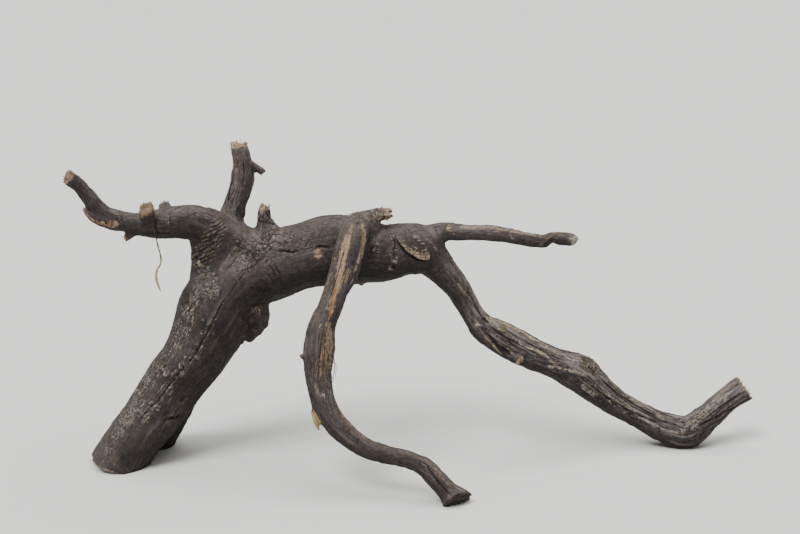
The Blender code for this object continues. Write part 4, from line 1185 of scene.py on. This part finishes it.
def weathered_wood():
    """Bark and bare wood: the mesh's tints broken up by fine grain, crust, cracks and specks."""
    material, tree, shader = new_material("weathered_wood", WOOD_ROUGHNESS, WOOD_SHINE)
    tint, accent = carried(tree, "tint", "Color"), carried(tree, "accent", "Color")
    accent_share = carried(tree, "accent_share", "Fac")
    grain = carried(tree, "grain")
    line_at, line_share, fold_at = three(tree, "drawn")
    crust, net, folds = three(tree, "zones")
    bare, stringy, own = three(tree, "finish")
    place = add(tree, "TexCoord").outputs["Object"]

    threads = noise(tree, stretched(tree, grain, (0.030, 0.60, 0.60)), 1.0, 6.0, 0.62)
    cords = noise(tree, stretched(tree, grain, (0.012, 0.20, 0.20)), 1.0, 4.0, 0.55)
    hairs = noise(tree, stretched(tree, grain, (0.045, 1.6, 1.6)), 1.0, 3.0, 0.6)
    grit = noise(tree, place, 480.0, 7.0, 0.68)
    flecks = noise(tree, place, 230.0, 5.0, 0.62)
    blotch = noise(tree, place, 90.0, 5.0, 0.6)
    speckle = noise(tree, place, 900.0, 3.0, 0.5)
    wobble = add(tree, "TexNoise", place, None, 260.0, 3.0, 0.5)
    shaken = add(tree, "VectorMath", wobble.outputs["Color"], (0.5,) * 3, operation="SUBTRACT").outputs[0]
    bent = add(tree, "VectorMath", shaken, (0.006,) * 3, place, operation="MULTIPLY_ADD").outputs[0]

    # Thin cracks: along the pressed folds, in crooked cells on the shoulder, along each limb,
    # and where lines are drawn.
    fold_wave = steps(tree, "PINGPONG", swung(tree, flecks, 0.5, fold_at), 0.5)
    patchy = remap(tree, blotch, 0.40, 0.50)
    fold_lines = product(tree, remap(tree, fold_wave, 0.04, 0.11, 1.0, 0.0), remap(tree, folds, 0.25, 0.6),
                         patchy)
    net_cells = stretched(tree, bent, (95.0, 120.0, 165.0), (0, math.radians(40), 0))
    net_lines = product(tree, cracks(tree, net_cells, 0.09), net, patchy)
    long_cells = stretched(tree, grain, (0.055, 0.30, 0.30))
    long_lines = product(tree, cracks(tree, long_cells, 0.08), own, remap(tree, blotch, 0.50, 0.62),
                         remap(tree, bare, 0.2, 0.8, 1.0, 0.3), remap(tree, stringy, 0.0, 1.0, 0.35))
    wide = steps(tree, "ABSOLUTE", line_at)
    ragged = steps(tree, "MULTIPLY_ADD", grit, 1.6, steps(tree, "SUBTRACT", wide, 0.8))
    crack = product(tree, remap(tree, ragged, 0.8, 1.8, 1.0, 0.0), line_share)
    for lines in (fold_lines, net_lines, long_lines):
        crack = steps(tree, "MAXIMUM", crack, lines)

    # Tone from threads along the grain, grit, flecks and blotches.
    tone = product(tree, swung(tree, threads, product(tree, stringy, 2.6), 1.0),
                   swung(tree, hairs, product(tree, stringy, 2.0), 1.0),
                   remap(tree, grit, 0.28, 0.72, 0.66, 1.38), remap(tree, flecks, 0.3, 0.7, 0.70, 1.32),
                   remap(tree, blotch, 0.3, 0.7, 0.68, 1.32))
    furrow = product(tree, remap(tree, cords, 0.36, 0.46, 1.0, 0.0), stringy, 0.50)
    crest = product(tree, remap(tree, cords, 0.56, 0.66), stringy, 0.42)
    colour = tinted(tree, toned(tree, tint, tone), crest, SILVER)
    colour = tinted(tree, colour, furrow, CRACK_AND_PAINTED_SHADE)

    # Crust: pale scales over hollows darkened with painted shade.
    scales = noise(tree, stretched(tree, grain, (0.32, 0.58, 0.58)), 1.0, 6.0, 0.75)
    more_scales = steps(tree, "MULTIPLY_ADD", crust, 0.12, scales)
    pale_scale = product(tree, remap(tree, more_scales, 0.63, 0.68, 0.0, 0.7), remap(tree, crust, 0.1, 0.4))
    hollow = product(tree, remap(tree, scales, 0.38, 0.46, 0.85, 0.0), crust)
    colour = tinted(tree, colour, pale_scale, FLECK)
    colour = tinted(tree, colour, hollow, CRACK_AND_PAINTED_SHADE)

    # Painted glints along the threads, and specks of dust everywhere.
    glints = product(tree, remap(tree, hairs, 0.60, 0.68, 0.0, 0.55), stringy)
    colour = tinted(tree, colour, glints, SILVER)
    colour = tinted(tree, colour, remap(tree, speckle, 0.63, 0.69, 0.0, 0.22), FLECK)
    fold_crest = product(tree, remap(tree, fold_wave, 0.20, 0.42, 0.0, 0.8), folds,
                         remap(tree, grit, 0.45, 0.55))
    colour = tinted(tree, colour, fold_crest, SAND)

    # Accents, with edges torn along the grain.
    streaky = accent_share
    for pattern, amount in ((threads, 1.3), (flecks, 0.8), (grit, 1.1)):
        streaky = swung(tree, pattern, amount, streaky)
    laid = product(tree, remap(tree, streaky, 0.41, 0.64, 0.0, 0.92), remap(tree, accent_share, 0.12, 0.3))
    accent_tone = product(tree, remap(tree, hairs, 0.3, 0.7, 0.60, 1.35),
                          remap(tree, grit, 0.3, 0.7, 0.66, 1.25), remap(tree, flecks, 0.3, 0.7, 0.75, 1.2))
    colour = tinted(tree, colour, laid, toned(tree, accent, accent_tone))
    colour = tinted(tree, colour, product(tree, crack, 0.86), CRACK_AND_PAINTED_SHADE)
    tree.links.new(colour, shader.inputs["Base Color"])
    tree.links.new(remap(tree, threads, 0.3, 0.7, 0.72, 0.95), shader.inputs["Roughness"])

    height = product(tree, threads, steps(tree, "MULTIPLY_ADD", stringy, 1.0, 0.3))
    for pattern, amount in ((hairs, product(tree, stringy, 0.35)), (product(tree, cords, stringy), 1.6),
                            (grit, 0.5), (flecks, 0.9), (product(tree, scales, crust), 2.6),
                            (crack, -0.9), (laid, -0.25)):
        height = steps(tree, "MULTIPLY_ADD", pattern, amount, height)
    raised(tree, shader, height, 0.9, 0.0013)
    return material


def split_wood():
    """Splinters, threads and scales: the mesh's tint with fine streaks, specks and a rough skin."""
    material, tree, shader = new_material("split_wood", WOOD_ROUGHNESS, WOOD_SHINE)
    place = add(tree, "TexCoord").outputs["Object"]
    streaks = noise(tree, stretched(tree, place, (1400.0, 1400.0, 500.0)), 1.0, 4.0, 0.6)
    specks = noise(tree, place, 800.0, 3.0, 0.6)
    tone = product(tree, remap(tree, streaks, 0.3, 0.7, 0.62, 1.3), remap(tree, specks, 0.3, 0.7, 0.8, 1.2))
    tree.links.new(toned(tree, carried(tree, "tint", "Color"), tone), shader.inputs["Base Color"])
    raised(tree, shader, streaks, 0.6, 0.0005)
    return material


def place_piece(name, mesh, material):
    """Show a finished mesh as a piece of the root."""
    mesh.materials.clear()
    mesh.materials.append(material)
    piece = bpy.data.objects.new(name, mesh)
    bpy.context.scene.collection.objects.link(piece)
    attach(piece, BODY)
    return piece


# Studio: lamp name, direction it shines from, spread in degrees, strength.
LAMPS = [("key", (-0.5, -0.52, 1.12), 30, 3.0), ("top", (0.25, 0.15, 1.0), 55, 2.5),
         ("fill", (0.9, -0.9, 0.45), 70, 0.3)]
FLOOR_REACH = 200
FLOOR_COLOUR = (0.78, 0.77, 0.75, 1)
SKY_COLOUR = (0.93, 0.94, 0.96, 1)
SKY_STRENGTH = 0.20


def floor_and_light():
    """A pale plain floor, and soft studio light from above and the front left."""
    mesh = bpy.data.meshes.new("floor")
    r = FLOOR_REACH
    mesh.from_pydata([(-r, -r, 0), (r, -r, 0), (r, r, 0), (-r, r, 0)], [], [(0, 1, 2, 3)])
    floor = bpy.data.objects.new("floor", mesh)
    material, _, shader = new_material("pale_floor", 0.9, 0.2)
    shader.inputs["Base Color"].default_value = FLOOR_COLOUR
    mesh.materials.append(material)
    bpy.context.scene.collection.objects.link(floor)
    world = bpy.data.worlds.new("studio")
    world.use_nodes = True
    sky = world.node_tree.nodes["Background"]
    sky.inputs[0].default_value = SKY_COLOUR
    sky.inputs[1].default_value = SKY_STRENGTH
    bpy.context.scene.world = world
    for name, way, spread, strength in LAMPS:
        light = bpy.data.lights.new(name, "SUN")
        light.angle = math.radians(spread)
        light.energy = strength
        lamp = bpy.data.objects.new(name, light)
        lamp.location = way
        tilt, turn = math.acos(way[2] / math.hypot(*way)), math.atan2(way[1], way[0]) + math.pi / 2
        lamp.rotation_euler = (tilt, 0, turn)
        bpy.context.scene.collection.objects.link(lamp)


def camera():
    """The camera at the photograph's place."""
    lens = bpy.data.cameras.new("camera")
    lens.lens = LENS
    lens.sensor_width = SENSOR
    eye = bpy.data.objects.new("camera", lens)
    eye.location = EYE
    eye.rotation_euler = (math.radians(90 - PITCH), 0, 0)
    bpy.context.scene.collection.objects.link(eye)
    bpy.context.scene.camera = eye


camera()
floor_and_light()
wood = weathered_wood()
skin = root_skin()
root = place_piece("root_skin", skin, wood)
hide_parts(NODE)
split = split_wood()
for mesh in (end_splinters(), hanging_rootlet(), loose_threads(), bark_scales(skin)):
    place_piece(mesh.name, mesh, split)
